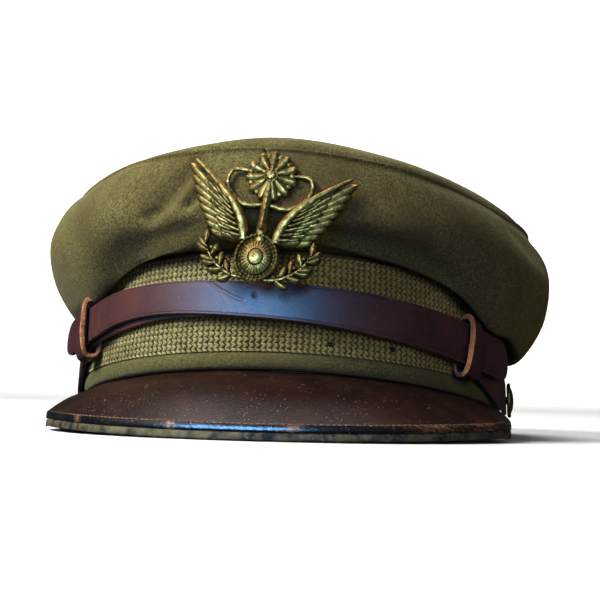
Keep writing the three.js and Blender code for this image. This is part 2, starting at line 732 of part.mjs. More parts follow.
// A feather or leaf from its root, given by direction in degrees, bend, length and width
function feather({ x, y, aim, bend = 0, length, width, ridge }, shares = FEATHER_SHARES) {
  const stations = shares.map(({ at, half, rise }) => {
    const angle = rad(aim + bend * at);
    return {
      x: x + Math.cos(angle) * length * at,
      y: y + Math.sin(angle) * length * at,
      half: width * half,
      ridge: ridge * rise,
    };
  });
  return blade(stations);
}

function wingBlades() {
  const blades = [];
  const quills = 8;
  for (let i = 0; i < quills; i += 1) {
    const t = i / (quills - 1);
    blades.push(feather({
      x: lerp(17.5, 8.5, t), y: lerp(20.5, 7.5, t),
      aim: lerp(49, -2, t), bend: lerp(-6, 10, t),
      length: lerp(22.5, 12.5, t ** 0.8), width: lerp(4.6, 4.2, t), ridge: lerp(1.9, 1.7, t),
    }));
  }
  const coverts = 6;
  for (let i = 0; i < coverts; i += 1) {
    const t = i / (coverts - 1);
    blades.push(feather({
      x: lerp(13, 7.5, t), y: lerp(20, 8.5, t),
      aim: lerp(48, 6, t), length: lerp(13, 8, t), width: 4.4, ridge: 2.6,
    }, LEAF_SHARES));
  }
  blades.push(blade([
    { x: 6.5, y: 6.5, half: 2.2, ridge: 2.6 },
    { x: 9.0, y: 14.5, half: 2.2, ridge: 3.2 },
    { x: 15.0, y: 22.5, half: 1.8, ridge: 3.0 },
    { x: 23.0, y: 30.0, half: 1.3, ridge: 2.4 },
    { x: 31.5, y: 37.2, half: 0.7, ridge: 1.6 },
  ], true));
  return blades;
}

function sprigBlades() {
  const blades = [blade([
    { x: 2.0, y: -9.0, half: 1.0, ridge: 1.8 },
    { x: 9.5, y: -8.2, half: 0.9, ridge: 1.7 },
    { x: 17.0, y: -3.5, half: 0.8, ridge: 1.6 },
    { x: 21.5, y: 3.5, half: 0.6, ridge: 1.4 },
  ], true)];
  const leaves = [
    { x: 8.6, y: -8.4, aim: -34 }, { x: 10.0, y: -7.8, aim: 62 },
    { x: 12.8, y: -6.6, aim: -12 }, { x: 14.0, y: -5.4, aim: 84 },
    { x: 16.8, y: -3.4, aim: 8 }, { x: 18.2, y: -1.8, aim: 104 },
    { x: 20.2, y: 1.6, aim: 36 }, { x: 21.2, y: 3.2, aim: 82 },
  ];
  for (const leaf of leaves) {
    blades.push(feather({ ...leaf, length: 6.6, width: 3.4, ridge: 1.8 }, LEAF_SHARES));
  }
  return blades;
}

// Scroll that ties each wing to the fan above
function scrollBlades() {
  return [blade([
    { x: 1.0, y: 21.6, half: 1.0, ridge: 1.8 },
    { x: 8.6, y: 20.6, half: 1.2, ridge: 2.2 },
    { x: 14.2, y: 24.0, half: 1.2, ridge: 2.2 },
    { x: 17.0, y: 29.5, half: 1.0, ridge: 2.0 },
    { x: 15.4, y: 34.5, half: 0.9, ridge: 1.8 },
    { x: 9.0, y: 34.8, half: 0.6, ridge: 1.4 },
  ], true)];
}

function disc(radiusX, radiusY, x, y, profile, sides) {
  const outline = profile.map(([share, height]) => new THREE.Vector2(share, height));
  const lathe = BufferGeometryUtils.mergeVertices(stripped(new THREE.LatheGeometry(outline, sides)), 1e-5);
  lathe.rotateX(Math.PI / 2);
  return lathe.scale(radiusX, radiusY, 1).translate(x, y, 0);
}

function makeBadge() {
  const half = [...wingBlades(), ...sprigBlades(), ...scrollBlades()];
  const mirrored = half.map((geometry) => {
    const copy = geometry.clone().scale(-1, 1, 1);
    const index = copy.index.array;
    for (let i = 0; i < index.length; i += 3) {
      [index[i], index[i + 1]] = [index[i + 1], index[i]];
    }
    return copy;
  });
  const pieces = [...half, ...mirrored];

  // Oval boss with a rounded rim at the centre
  pieces.push(disc(9.0, 10.2, 0, -0.6, [
    [0, 0], [1, 0], [1, 1.6], [0.92, 2.6], [0.82, 2.3], [0.78, 1.7], [0.5, 3.6], [0, 4.3],
  ], 20));

  // Fan of petals on a round plate, with a small dome in the middle
  const fan = { y: 33.5, plate: 8.6, petals: 11, root: 2.4, length: 8.2, dome: 3.1 };
  pieces.push(disc(fan.plate, fan.plate, 0, fan.y, [[0, 0], [1, 0], [1, 1.3], [0, 1.9]], 16));
  for (let i = 0; i < fan.petals; i += 1) {
    const aim = 90 + (i * 360) / fan.petals;
    pieces.push(feather({
      x: fan.root * Math.cos(rad(aim)), y: fan.y + fan.root * Math.sin(rad(aim)),
      aim, length: fan.length, width: 5.0, ridge: 2.7,
    }));
  }
  pieces.push(disc(fan.dome, fan.dome, 0, fan.y, [[0, 0], [1, 0], [1, 2.3], [0.6, 3.4], [0, 3.7]], 12));

  // Short post behind the stalk, which passes through the crown in use and ends before its cloth here
  const post = new THREE.CylinderGeometry(BADGE_POST.radius, BADGE_POST.radius, BADGE_POST.length + 1, 12);
  pieces.push(post.rotateX(Math.PI / 2).translate(0, BADGE_POST.y, (1 - BADGE_POST.length) / 2));

  // Stalk between the boss and the fan
  pieces.push(blade([
    { x: 0, y: 7.0, half: 2.8, ridge: 2.8 },
    { x: 0, y: 16.0, half: 1.9, ridge: 3.2 },
    { x: 0, y: 26.0, half: 2.6, ridge: 2.4 },
  ], true));

  const whole = pieces.map(toManifold).reduce((sum, piece) => sum.add(piece));
  const geometry = toGeometry(whole);
  return bendBadge(geometry);
}

function bendBadge(geometry) {
  const place = new THREE.Matrix4().makeTranslation(BADGE_CENTRE.x, BADGE_CENTRE.y, BADGE_CENTRE.z);
  place.multiply(new THREE.Matrix4().makeRotationX(Math.PI / 2 - rad(BADGE_LEAN)));
  const roll = new THREE.Matrix4().makeRotationZ(-rad(BADGE_ROLL));
  const positions = geometry.attributes.position;
  const point = vec(0, 0, 0);
  for (let i = 0; i < positions.count; i += 1) {
    point.fromBufferAttribute(positions, i).setY(point.y - BADGE_PIVOT).applyMatrix4(roll);
    point.setZ(point.z - point.x ** 2 / (2 * BADGE_BEND_RADIUS)).applyMatrix4(place);
    positions.setXYZ(i, point.x, point.y, point.z);
  }
  return geometry;
}

// The floor wears a narrow flat along whatever touches it
function trimAtFloor(geometry, tilt) {
  const block = { side: 400, depth: 20 };
  const floor = new THREE.BoxGeometry(block.side, block.side, block.depth).translate(0, 0, -block.depth / 2);
  floor.applyMatrix4(tilt.clone().invert());
  return toGeometry(toManifold(geometry).subtract(toManifold(floor)));
}

function material(color, roughness, metalness = 0) {
  return new THREE.MeshStandardMaterial({ color, roughness, metalness });
}

const WOOL = material('#5a5636', 0.95);
const WOOL_LIGHT = material('#666140', 0.95);
const BRAID = material('#86805a', 0.85);
const PEAK_LEATHER = material('#3a2420', 0.4);
const PEAK_UNDERSIDE = material('#2f3322', 0.8);
const STRAP_LEATHER = material('#4a2a2e', 0.45);
const KEEPER_LEATHER = material('#5b3526', 0.6);
const BRASS = material('#a58a3c', 0.4, 1);

const cap = new THREE.Group();
cap.rotation.x = -rad(REST_PITCH);
cap.position.set(ORIGIN_SHIFT.x, ORIGIN_SHIFT.y, ORIGIN_SHIFT.z);
cap.updateMatrix();

function addNode(name, geometry, look) {
  const mesh = new THREE.Mesh(geometry, look);
  mesh.name = name;
  cap.add(mesh);
}

addNode('cap_band', trimAtFloor(makeBand(), cap.matrix), WOOL_LIGHT);
addNode('braid_band', makeBraid(), BRAID);
addNode('crown_quarter_front_right', makeQuarter(-SIDE_SEAM_TURN, 0), WOOL);
addNode('crown_quarter_front_left', makeQuarter(0, SIDE_SEAM_TURN), WOOL);
addNode('crown_quarter_rear_left', makeQuarter(SIDE_SEAM_TURN, 180), WOOL);
addNode('crown_quarter_rear_right', makeQuarter(180, 360 - SIDE_SEAM_TURN), WOOL);
addNode('crown_top', makeTop(), WOOL);
addNode('peak_upper', peakLayer(0, PEAK_LAYER), PEAK_LEATHER);
const lowerTop = PEAK_LAYER + PEAK_LAYER_GAP;
const lowerBottom = 2 * PEAK_LAYER + GAP;
const peakLower = peakLayer(lowerTop, lowerBottom, true);
addNode('peak_lower', trimAtFloor(peakLower, cap.matrix), PEAK_UNDERSIDE);
addNode('strap_over', makeStrapOver(), STRAP_LEATHER);
addNode('strap_under', makeStrapUnder(), STRAP_LEATHER);
addNode('keeper_right', makeKeeper(-1), KEEPER_LEATHER);
addNode('keeper_left', makeKeeper(1), KEEPER_LEATHER);
addNode('button_right', makeButton(BUTTONS.right), BRASS);
addNode('button_left', makeButton(BUTTONS.left), BRASS);
addNode('badge', makeBadge(), BRASS);

const group = new THREE.Group();
group.add(cap);

export default group;
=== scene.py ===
# A peaked service cap of olive wool, with a woven band, leather peak, chin strap and brass badge.
# Sizes are in millimetres in the cap's own upright frame until to_rest() turns them into metres.
import math

import bmesh
import bpy
import numpy as np
from mathutils import Matrix, Vector


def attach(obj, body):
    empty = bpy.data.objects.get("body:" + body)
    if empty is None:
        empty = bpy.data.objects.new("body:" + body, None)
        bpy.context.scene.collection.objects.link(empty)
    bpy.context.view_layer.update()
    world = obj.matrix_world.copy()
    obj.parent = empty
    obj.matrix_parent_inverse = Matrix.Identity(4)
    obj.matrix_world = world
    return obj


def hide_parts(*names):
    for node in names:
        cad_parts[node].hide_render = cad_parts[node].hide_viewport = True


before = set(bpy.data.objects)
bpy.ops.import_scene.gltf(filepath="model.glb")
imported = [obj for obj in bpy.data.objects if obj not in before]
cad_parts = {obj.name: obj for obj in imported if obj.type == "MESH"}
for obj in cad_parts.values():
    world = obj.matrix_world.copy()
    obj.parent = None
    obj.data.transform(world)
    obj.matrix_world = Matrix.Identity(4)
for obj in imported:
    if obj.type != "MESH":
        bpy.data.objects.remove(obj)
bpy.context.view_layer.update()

# Resting attitude
REST_PITCH = math.radians(7.4)
ORIGIN_SHIFT = np.array([-1.12, 4.48, 13.65])

# Cap band and braid
HALF_WIDTH = 92.4
HALF_LENGTH = 107.1
BAND_HEIGHT = 48.4
BAND_TAPER = 2.5
SIDE_DIP = 2.8
BAND_WALL = 2.6
BRAID_LOW = 7.1
BRAID_HIGH = 46.6
BRAID_ROWS = 34
BRAID_COLUMNS = 240
# turn and height
BRAID_HOLES = [(17.1, 11.3), (33.5, 11.4)]
HOLE_RADIUS = 1.25
SIDE_SEAM = 97.5
TOP_CENTRE = 84.0
CLOTH = 1.8
LIP_OUT = 2.4

# Millimetres in a degree of turn on the band, and in a degree and the whole rise on the crown
BAND_DEGREE = 1.745
MM_A_DEGREE = 1.9
MM_A_RISE = 78

# Crown sections each 30 degrees from the front by way of +X
CROWN = {
    "droop_out": [6, 8, 9, 7.5, 9, 9, 9, 9, 8.5, 5.5, 6.5, 8],
    "droop_z": [51, 47, 34, 22.5, 26, 36, 41, 39, 34, 31, 35, 46],
    "bulge_out": [12.5, 16.5, 20, 21.3, 22, 21.5, 21, 20, 18.5, 19, 18.5, 16],
    "bulge_z": [64, 62, 57, 54.5, 56, 61, 63, 64, 65, 64, 65, 65],
    "seam_out": [7, 9, 7.5, 10, 11, 11, 11, 10, 8, 7, 4.5, 5],
    "seam_z": [88.5, 84.5, 78, 78, 80, 81, 81, 82, 83, 84, 84.5, 88],
    "roll": [8.5, 8, 8.5, 7, 5, 4, 4, 4, 3, 2.5, 2.5, 5],
}
# turn, rise, depth, half widths in turn and rise
DENTS = [
    (-27, 0.66, 2.6, 6, 0.16), (-34, 0.45, 2.0, 11, 0.1), (20, 0.5, 1.6, 14, 0.12),
    (48, 0.6, 1.8, 20, 0.12), (83, 0.9, 1.0, 7, 0.06), (150, 0.7, 2.5, 16, 0.16),
    (-140, 0.65, 2.2, 18, 0.16),
]
# across the top panel from its centre to its seam, share of the roll
TOP_ROLL = [(0, 0), (0.35, 0.3), (0.62, 0.75), (0.82, 1), (0.91, 0.85), (0.965, 0.5), (1, 0)]

# Peak
PEAK_END = 77
PEAK_HALF_WIDTH = 104.5
PEAK_REACH = 111
PEAK_CENTRE = (1.7, -30)
PEAK_DROP = 25.9
PEAK_BOW = 17.6
PEAK_CORNER_START = 0.72
PEAK_CORNER_SWEEP = 1.13
PEAK_CORNER = (102.5, -56, -15.6)
PEAK_BELLY = 2.6
# depths of the upper and the lower face of each layer
PEAK_UPPER = (0, 3.0)
PEAK_LOWER = (3.3, 6.3)

# Chin strap's width: turn, width
STRAP_WIDTHS = [
    (-110, 16.2), (-70, 16.2), (-57, 15.4), (-45, 14.2), (-30, 13.3), (-15, 13.9), (0, 14.8), (12, 15.5),
    (25, 16.6), (40, 17.4), (110, 17.4),
]
# Middle line of its outer and inner length: turn, height, lift off the band
STRAP_OVER = [
    (-70.5, 19.2, 4.6), (-65, 20, 3), (-57, 21.4, 2), (-51, 23.2, 1.5), (-44, 26.2, 0.5), (-38, 27.6, 0),
    (-31, 28.3, 0), (-24, 28.5, 0), (-15, 28.1, 0), (-5, 27.3, 0), (9, 26.1, 0), (24, 24.3, 0),
    (32, 22.9, 0), (40, 21.4, 0.2), (49, 19.2, 1), (57, 17, 1.6), (66, 15.8, 1.7), (76.5, 15.4, 1.8),
]
STRAP_UNDER = [
    (-97, 3.4, 0), (-84, 4.2, 0), (-76, 5.8, 0), (-70, 9.2, 0.4), (-64.5, 14.4, 1), (-60, 18, 1.6),
    (-56, 20.4, 1.6), (-52, 21.9, 1.4), (-48, 23.1, 0.8), (-44, 24, 0.2), (-38, 25.1, 0), (-31, 26.4, 0),
    (-24, 27.3, 0), (-15, 27.6, 0), (-5, 27.1, 0), (9, 26.1, 0), (24, 24.3, 0), (32, 22.9, 0),
    (40, 21.4, 0.2), (49, 19.2, 1), (57, 16.6, 1.6), (63, 13.2, 1), (69, 9.4, 0.2), (77, 5.4, 0),
    (91, 3, 0),
]
UNDER_FACE = 1.6
OVER_FACE = 3.9
STRAP_THICK = 2
TAB_WIDTH = 12.6
# how far each end of the inner length runs past its button
TAB_LENGTH = 5.72
KEEPER_TURN = 56
KEEPER_TOP = 10.7
KEEPER_FOOT = -12.5
KEEPER_HALF_WIDTH = 2.6
# turn and height
BUTTONS = {"right": (-97, 3.4), "left": (91, 3.0)}

# Badge
BADGE_CENTRE = (1.5, -120.8, 58.5)
BADGE_LEAN = math.radians(6)
BADGE_ROLL = math.radians(7)
BADGE_BEND = 190
BADGE_MIDDLE = 17
BOSS_Y = -0.6
ROSETTE_Y = 33.5


# Places and tables

WAVES = 5


def to_rest(points):
    """Upright millimetres to the metres the cap rests in."""
    x, y, z = np.asarray(points, float).T
    c, s = math.cos(REST_PITCH), math.sin(REST_PITCH)
    return (np.column_stack((x, y * c + z * s, z * c - y * s)) + ORIGIN_SHIFT) / 1000


def cubic(before, start, end, after, t):
    rise, fall = (end - before) / 2, (after - start) / 2
    return ((2 * t**3 - 3 * t**2 + 1) * start + (t**3 - 2 * t**2 + t) * rise
            + (3 * t**2 - 2 * t**3) * end + (t**3 - t**2) * fall)


def round_the_crown(turn, column):
    values = np.array(CROWN[column], float)
    place = np.mod(turn, 360) / 30
    i = np.floor(place).astype(int)
    before, start, end, after = (values[(i + k) % 12] for k in (-1, 0, 1, 2))
    return cubic(before, start, end, after, place - i)


def along(table, at, column=1):
    rows = np.array(table, float)
    keys, values = rows[:, 0], rows[:, column]
    i = np.clip(np.searchsorted(keys, at) - 1, 0, len(keys) - 2)
    t = (at - keys[i]) / (keys[i + 1] - keys[i])
    last = len(keys) - 1
    return cubic(values[np.maximum(i - 1, 0)], values[i], values[i + 1], values[np.minimum(i + 2, last)], t)


def turn_near(turn, at):
    """The same turn, counted within half a round of at."""
    return at + np.mod(turn - at + 180, 360) - 180


def unit(vectors):
    return vectors / np.maximum(np.linalg.norm(vectors, axis=-1, keepdims=True), 1e-12)


def clamp(x):
    return np.clip(x, 0, 1)


def full_turn(steps):
    return np.linspace(0, 2 * math.pi, steps + 1)


def bell(x, centre, width):
    return np.exp(-(((x - centre) / width) ** 2))


def wander(x, y, seed):
    """A smooth field between about -1 and 1."""
    rng = np.random.default_rng(seed)
    total = np.zeros(np.broadcast(x, y).shape)
    for _ in range(WAVES):
        angle, phase, size = rng.uniform(0, 2 * math.pi, 2).tolist() + [rng.uniform(0.6, 1.8)]
        total = total + np.sin(size * (x * math.cos(angle) + y * math.sin(angle)) + phase)
    return total / WAVES ** 0.5 / 1.2


# Band surfaces: turn 0 is the front, 90 is +X

def side_dip(turn):
    return -SIDE_DIP * np.sin(np.radians(turn)) ** 2


def oval(turn, out, height):
    a = np.radians(turn)
    return np.stack(((HALF_WIDTH + out) * np.sin(a), -(HALF_LENGTH + out) * np.cos(a), height + 0 * a), -1)


def on_band(turn, out, height):
    return oval(turn, out - BAND_TAPER * (height - side_dip(turn)) / BAND_HEIGHT, height)


def band_outward(turn):
    a = np.radians(turn)
    flat = unit(np.stack((np.sin(a) / HALF_WIDTH, -np.cos(a) / HALF_LENGTH, 0 * a), -1))
    flat[..., 2] = BAND_TAPER / BAND_HEIGHT
    return unit(flat)


# Crown surfaces

def crown_section(turn, rise):
    """Offset and height on the crown's side, from the band (rise 0) to the seam (rise 1)."""
    start = BAND_HEIGHT + 0.3 + side_dip(turn)
    droop, bulge, seam = (
        np.stack((round_the_crown(turn, part + "_out"), round_the_crown(turn, part + "_z")), -1)
        for part in ("droop", "bulge", "seam"))

    def mix(a, b, shares):
        return a + (b - a) * np.array(shares)

    def knot(out, height):
        return np.stack((np.full_like(start, out - BAND_TAPER), height), -1)

    knots = np.stack((
        knot(-BAND_WALL, start), knot(LIP_OUT, start + 0.1), mix(knot(LIP_OUT, start), droop, (0.55, 0.6)),
        droop, mix(droop, bulge, (0.86, 0.5)), bulge, mix(bulge, seam, (0.42, 0.62)), seam), -2)
    ends = np.concatenate((2 * knots[..., :1, :] - knots[..., 1:2, :], knots,
                           2 * knots[..., -1:, :] - knots[..., -2:-1, :]), -2)
    place = rise * 7
    i = np.clip(np.floor(place).astype(int), 0, 6)
    t = (place - i)[..., None]
    p0, p1, p2, p3 = (np.take_along_axis(ends, (i + k)[..., None, None], -2)[..., 0, :] for k in range(4))
    steps = ((p0, p1), (p1, p2), (p2, p3))
    d0, d1, d2 = (np.sqrt(np.linalg.norm(b - a, axis=-1))[..., None] for a, b in steps)
    out = ((p1 - p0) / d0 - (p2 - p0) / (d0 + d1) + (p2 - p1) / d1) * d1
    into = ((p2 - p1) / d1 - (p3 - p1) / (d1 + d2) + (p3 - p2) / d2) * d1
    return p1 + out * t + (3 * (p2 - p1) - 2 * out - into) * t**2 + (2 * (p1 - p2) + out + into) * t**3


def crown_side(turn, rise):
    out, height = np.moveaxis(crown_section(turn, rise), -1, 0)
    dent = 0
    for at, up, depth, wide, high in DENTS:
        dent = dent + depth * bell(turn_near(turn, at), at, wide) * bell(rise, up, high)
    return oval(turn, out - dent, height)


def crown_top(turn, across):
    seam = oval(turn, round_the_crown(turn, "seam_out"), round_the_crown(turn, "seam_z"))
    roll = round_the_crown(turn, "roll") * along(TOP_ROLL, across)
    height = TOP_CENTRE + (seam[..., 2] - TOP_CENTRE) * across**2 + roll
    return np.stack((seam[..., 0] * across, seam[..., 1] * across, height), -1)


def with_relief(face, relief, du, dv, sign=1):
    """A surface moved along its own normal by relief(u, v), in millimetres."""
    def moved(u, v):
        along_u = face(u + du, v) - face(u - du, v)
        along_v = face(u, np.minimum(v + dv, 1)) - face(u, np.maximum(v - dv, 0))
        normal = unit(np.cross(along_u, along_v)) * sign
        return face(u, v) + normal * relief(u, v)[..., None]
    return moved


# Peak surfaces

def peak_edge(where):
    """Outer edge from the front (0) to its two ends at the band (1 and -1)."""
    share, side = np.abs(where), np.where(where < 0, -1.0, 1.0)
    start = PEAK_CORNER_START

    def swept(sweep):
        return np.stack((PEAK_HALF_WIDTH * np.sin(sweep), PEAK_CENTRE[1] - PEAK_REACH * np.cos(sweep),
                         -PEAK_DROP + PEAK_BOW * (1 - np.cos(sweep))), -1)

    front = swept(PEAK_CORNER_SWEEP * np.minimum(share, start) / start)
    t = clamp((share - start) / (1 - start))[..., None]
    end = oval(np.array(float(PEAK_END)), 2.4, side_dip(PEAK_END) - 1.2)
    begin = swept(np.array(PEAK_CORNER_SWEEP))
    corner = (1 - t)**2 * begin + 2 * t * (1 - t) * np.array(PEAK_CORNER) + t**2 * end
    point = np.where(share[..., None] <= start, front, corner)
    point[..., 0] = point[..., 0] * side + PEAK_CENTRE[0] * (1 - t[..., 0])
    return point


def peak_face(where, across):
    turn = PEAK_END * where
    root = oval(turn, -2.3, side_dip(turn) - 0.3)
    point = root + (peak_edge(where) - root) * across[..., None]
    point[..., 2] += PEAK_BELLY * np.sin(math.pi * across) * np.cos(np.radians(turn))
    return point


# Strap surfaces

def strap_at(line, turn, up, out):
    def middle(turn):
        return on_band(turn, 0 * turn, along(line, turn))

    outward = band_outward(turn)
    upward = unit(np.cross(unit(middle(turn + 0.5) - middle(turn - 0.5)), outward))
    upward = upward * np.where(upward[..., 2:] < 0, -1.0, 1.0)
    return middle(turn) + outward * out[..., None] + upward * up[..., None]


# Mesh making

def as_mesh(bm, name):
    mesh = bpy.data.meshes.new(name)
    bm.to_mesh(mesh)
    bm.free()
    return mesh


def new_object(name, data):
    made = bpy.data.objects.new(name, data)
    bpy.context.scene.collection.objects.link(made)
    return made


def dress(bm, name, material, replaces=(), second=None):
    """A finished piece from its shape. It rides on the cap's one body."""
    mesh = as_mesh(bm, name)
    piece = new_object(name, mesh)
    mesh.materials.append(material)
    if second:
        mesh.materials.append(second)
    mesh.shade_smooth()
    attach(piece, "root")
    if replaces:
        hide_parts(*replaces)
    return piece


def place_corners(bm, points, marks):
    """Carries each corner to its place, and keeps the named values of marks on it."""
    for name, values in marks.items():
        layer = bm.verts.layers.float.new(name)
        for vert, number in zip(bm.verts, values):
            vert[layer] = number
    for vert, place in zip(bm.verts, to_rest(points)):
        vert.co = place


def surface(face, us, vs, marks=None, strips=()):
    """A grid whose corners are carried to face(u, v). marks are named functions of u and v whose
    values its corners keep, strips the stretches of v whose faces take the second material."""
    bm = bmesh.new()
    bmesh.ops.create_grid(bm, x_segments=len(us) - 1, y_segments=len(vs) - 1, size=0.5)
    flat = np.array([v.co[:] for v in bm.verts]) + 0.5
    u = np.interp(flat[:, 0], np.linspace(0, 1, len(us)), us)
    v = np.interp(flat[:, 1], np.linspace(0, 1, len(vs)), vs)
    for low, high in strips:
        for part in bm.faces:
            middle = np.interp(part.calc_center_median().y + 0.5, np.linspace(0, 1, len(vs)), vs)
            if low < middle < high:
                part.material_index = 1
    place_corners(bm, face(u, v), {name: value(u, v) for name, value in (marks or {}).items()})
    bmesh.ops.remove_doubles(bm, verts=bm.verts[:], dist=2e-6)
    return bm


def gathered(parts):
    """Several meshes as one."""
    whole = bmesh.new()
    for part in parts:
        mesh = as_mesh(part, "part")
        whole.from_mesh(mesh)
        bpy.data.meshes.remove(mesh)
    return whole


def facing_out(bm):
    bmesh.ops.recalc_face_normals(bm, faces=bm.faces[:])
    return bm


def closed_up(bm):
    rims = [e for e in bm.edges if e.is_boundary]
    bmesh.ops.holes_fill(bm, edges=rims, sides=0)
    return facing_out(bm)


def section(points, closed=True):
    """The places along a section, and the function that gives its two values at a place."""
    rows = np.array([*points, points[0]] if closed else points, float)
    places = np.arange(len(rows))

    def at(place):
        return np.interp(place, places, rows[:, 0]), np.interp(place, places, rows[:, 1])
    return places, at


def to_nearer(turn, first, last):
    return np.minimum(turn - first, last - turn)


def finer_at_end(split, coarse, fine):
    """Steps from 0 to 1, closer together past split."""
    return np.concatenate((np.linspace(0, split, coarse), np.linspace(split, 1, fine)[1:]))


def thicken(piece):
    """Gives a sheet the thickness of the cloth, inwards."""
    wall = piece.modifiers.new("cloth", "SOLIDIFY")
    wall.thickness = CLOTH / 1000
    wall.offset = -1
    wall.use_even_offset = False


# Camera, floor and light

# size of the picture and focal length in pixels, and the point of the picture straight ahead
PICTURE = 600
FOCAL = 1840
AHEAD = (295.7, 336.1)
SENSOR = 36


def make_camera():
    yaw, tilt, roll = (math.radians(angle) for angle in (7.43, -8.70, 2.36))
    distance = 837.0
    forward = np.array([-math.sin(yaw) * math.cos(tilt), math.cos(yaw) * math.cos(tilt), -math.sin(tilt)])
    level = np.array([math.cos(yaw), math.sin(yaw), 0.0])
    above = np.cross(level, forward)
    right = math.cos(roll) * level + math.sin(roll) * above
    up = math.cos(roll) * above - math.sin(roll) * level
    c, s = math.cos(REST_PITCH), math.sin(REST_PITCH)
    turn = np.array([[1, 0, 0], [0, c, s], [0, -s, c]])
    place = to_rest([np.array([0, 0, 30.0]) - distance * forward])[0]
    data = bpy.data.cameras.new("camera")
    data.sensor_width = SENSOR
    data.lens = SENSOR * FOCAL / PICTURE
    data.shift_x = (PICTURE / 2 - AHEAD[0]) / PICTURE
    data.shift_y = (AHEAD[1] - PICTURE / 2) / PICTURE
    camera = new_object("camera", data)
    axes = np.column_stack((turn @ right, turn @ up, -(turn @ forward)))
    camera.matrix_world = Matrix.Translation(Vector(place)) @ Matrix(axes.tolist()).to_4x4()
    bpy.context.scene.camera = camera


# metres of the floor's sheet, of its flat part and of its bend up to the wall
FLOOR_WIDTH = 9
FLOOR_RUN = 8.5
FLOOR_FLAT = 4.5
FLOOR_BEND = 1.6
FLOOR_START = -3.0


def make_floor():
    bm = bmesh.new()
    bmesh.ops.create_grid(bm, x_segments=8, y_segments=60, size=0.5)
    radius = FLOOR_BEND * 2 / math.pi
    for v in bm.verts:
        run = (v.co.y + 0.5) * FLOOR_RUN
        bend = min(max((run - FLOOR_FLAT) / FLOOR_BEND, 0), 1) * math.pi / 2
        y = min(run, FLOOR_FLAT) + radius * math.sin(bend) + FLOOR_START
        z = radius * (1 - math.cos(bend)) + max(run - FLOOR_FLAT - FLOOR_BEND, 0)
        v.co = (v.co.x * FLOOR_WIDTH, y, z)
    mesh = as_mesh(bm, "floor")
    floor = new_object("floor", mesh)
    mesh.shade_smooth()
    paper = bpy.data.materials.new("floor_paper")
    paper.use_nodes = True
    shader = paper.node_tree.nodes["Principled BSDF"]
    shader.inputs["Base Color"].default_value = (0.8, 0.8, 0.8, 1)
    shader.inputs["Roughness"].default_value = 0.9
    mesh.materials.append(paper)
    floor.visible_diffuse = floor.visible_glossy = False


def soft_light(name, place, size, watts, colour=(1, 1, 1), aim=(0, 0, 0.06), matt=True, gloss=True):
    data = bpy.data.lights.new(name, "AREA")
    data.shape = "RECTANGLE"
    data.size, data.size_y = size
    data.energy = watts
    data.color = colour
    light = new_object(name, data)
    light.location = place
    light.rotation_euler = (Vector(aim) - Vector(place)).to_track_quat("-Z", "Y").to_euler()
    light.visible_diffuse = matt
    light.visible_glossy = gloss


make_camera()
make_floor()
soft_light("key", (-1.0, -0.75, 1.05), (0.7, 0.7), 43, (1, 0.97, 0.9), gloss=False)
soft_light("glint", (-1.0, -0.75, 1.05), (0.6, 0.6), 32, (1, 0.88, 0.66), matt=False)
soft_light("top", (-0.2, 0.4, 1.5), (0.9, 0.9), 21)
soft_light("fill", (0.9, -1.3, 0.5), (0.8, 0.8), 4.4, (1, 0.88, 0.7), gloss=False)
soft_light("window", (-0.31, -1.15, 0.4), (1.12, 0.42), 62, (0.18, 0.5, 1), (0, -0.1, 0.05), matt=False)
soft_light("backdrop", (0, 1.4, 2.4), (4, 1.2), 260, aim=(0, 4.2, 1.8))
world = bpy.data.worlds.new("studio")
world.use_nodes = True
air = world.node_tree.nodes["Background"]
air.inputs["Color"].default_value = (1, 0.94, 0.86, 1)
air.inputs["Strength"].default_value = 0.04
bpy.context.scene.world = world
bpy.context.scene.view_settings.view_transform = "Standard"


# Shader helpers

class Nodes:
    """Short ways to add nodes to one node tree."""

    def __init__(self, tree):
        self.tree = tree

    def add(self, kind, links=(), **settings):
        node = self.tree.nodes.new(kind)
        for key, value in settings.items():
            setattr(node, key, value)
        for socket, value in dict(links).items():
            self.put(node, socket, value)
        return node

    def put(self, node, socket, value):
        """Links or sets a socket. Colours are given as red, green and blue."""
        if isinstance(value, bpy.types.NodeSocket):
            self.tree.links.new(value, node.inputs[socket])
            return
        if node.inputs[socket].type == "RGBA":
            value = (*value, 1)
        node.inputs[socket].default_value = value

    def stretched(self, place, size, turn=(0, 0, 0)):
        """Coordinates counted in steps of size millimetres along turned axes."""
        links = {"Vector": place, "Scale": [length / 1000 for length in size], "Rotation": turn}
        return self.add("ShaderNodeMapping", links, vector_type="TEXTURE").outputs["Vector"]

    def noise(self, place, scale, detail=3, roughness=0.55, distortion=0.0):
        links = {"Vector": place, "Scale": scale, "Detail": detail, "Roughness": roughness,
                 "Distortion": distortion}
        return self.add("ShaderNodeTexNoise", links).outputs["Fac"]

    def between(self, value, low, high, to_low=0.0, to_high=1.0):
        links = {"Value": value, "From Min": low, "From Max": high, "To Min": to_low, "To Max": to_high}
        return self.add("ShaderNodeMapRange", links).outputs["Result"]

    def mix(self, share, a, b):
        return self.add("ShaderNodeMix", {0: share, 6: a, 7: b}, data_type="RGBA").outputs[2]

    def math(self, operation, a, b):
        return self.add("ShaderNodeMath", {0: a, 1: b}, operation=operation).outputs[0]

    def bump(self, height, strength, distance, normal=None):
        links = {"Height": height, "Strength": strength, "Distance": distance}
        if normal is not None:
            links["Normal"] = normal
        return self.add("ShaderNodeBump", links).outputs["Normal"]


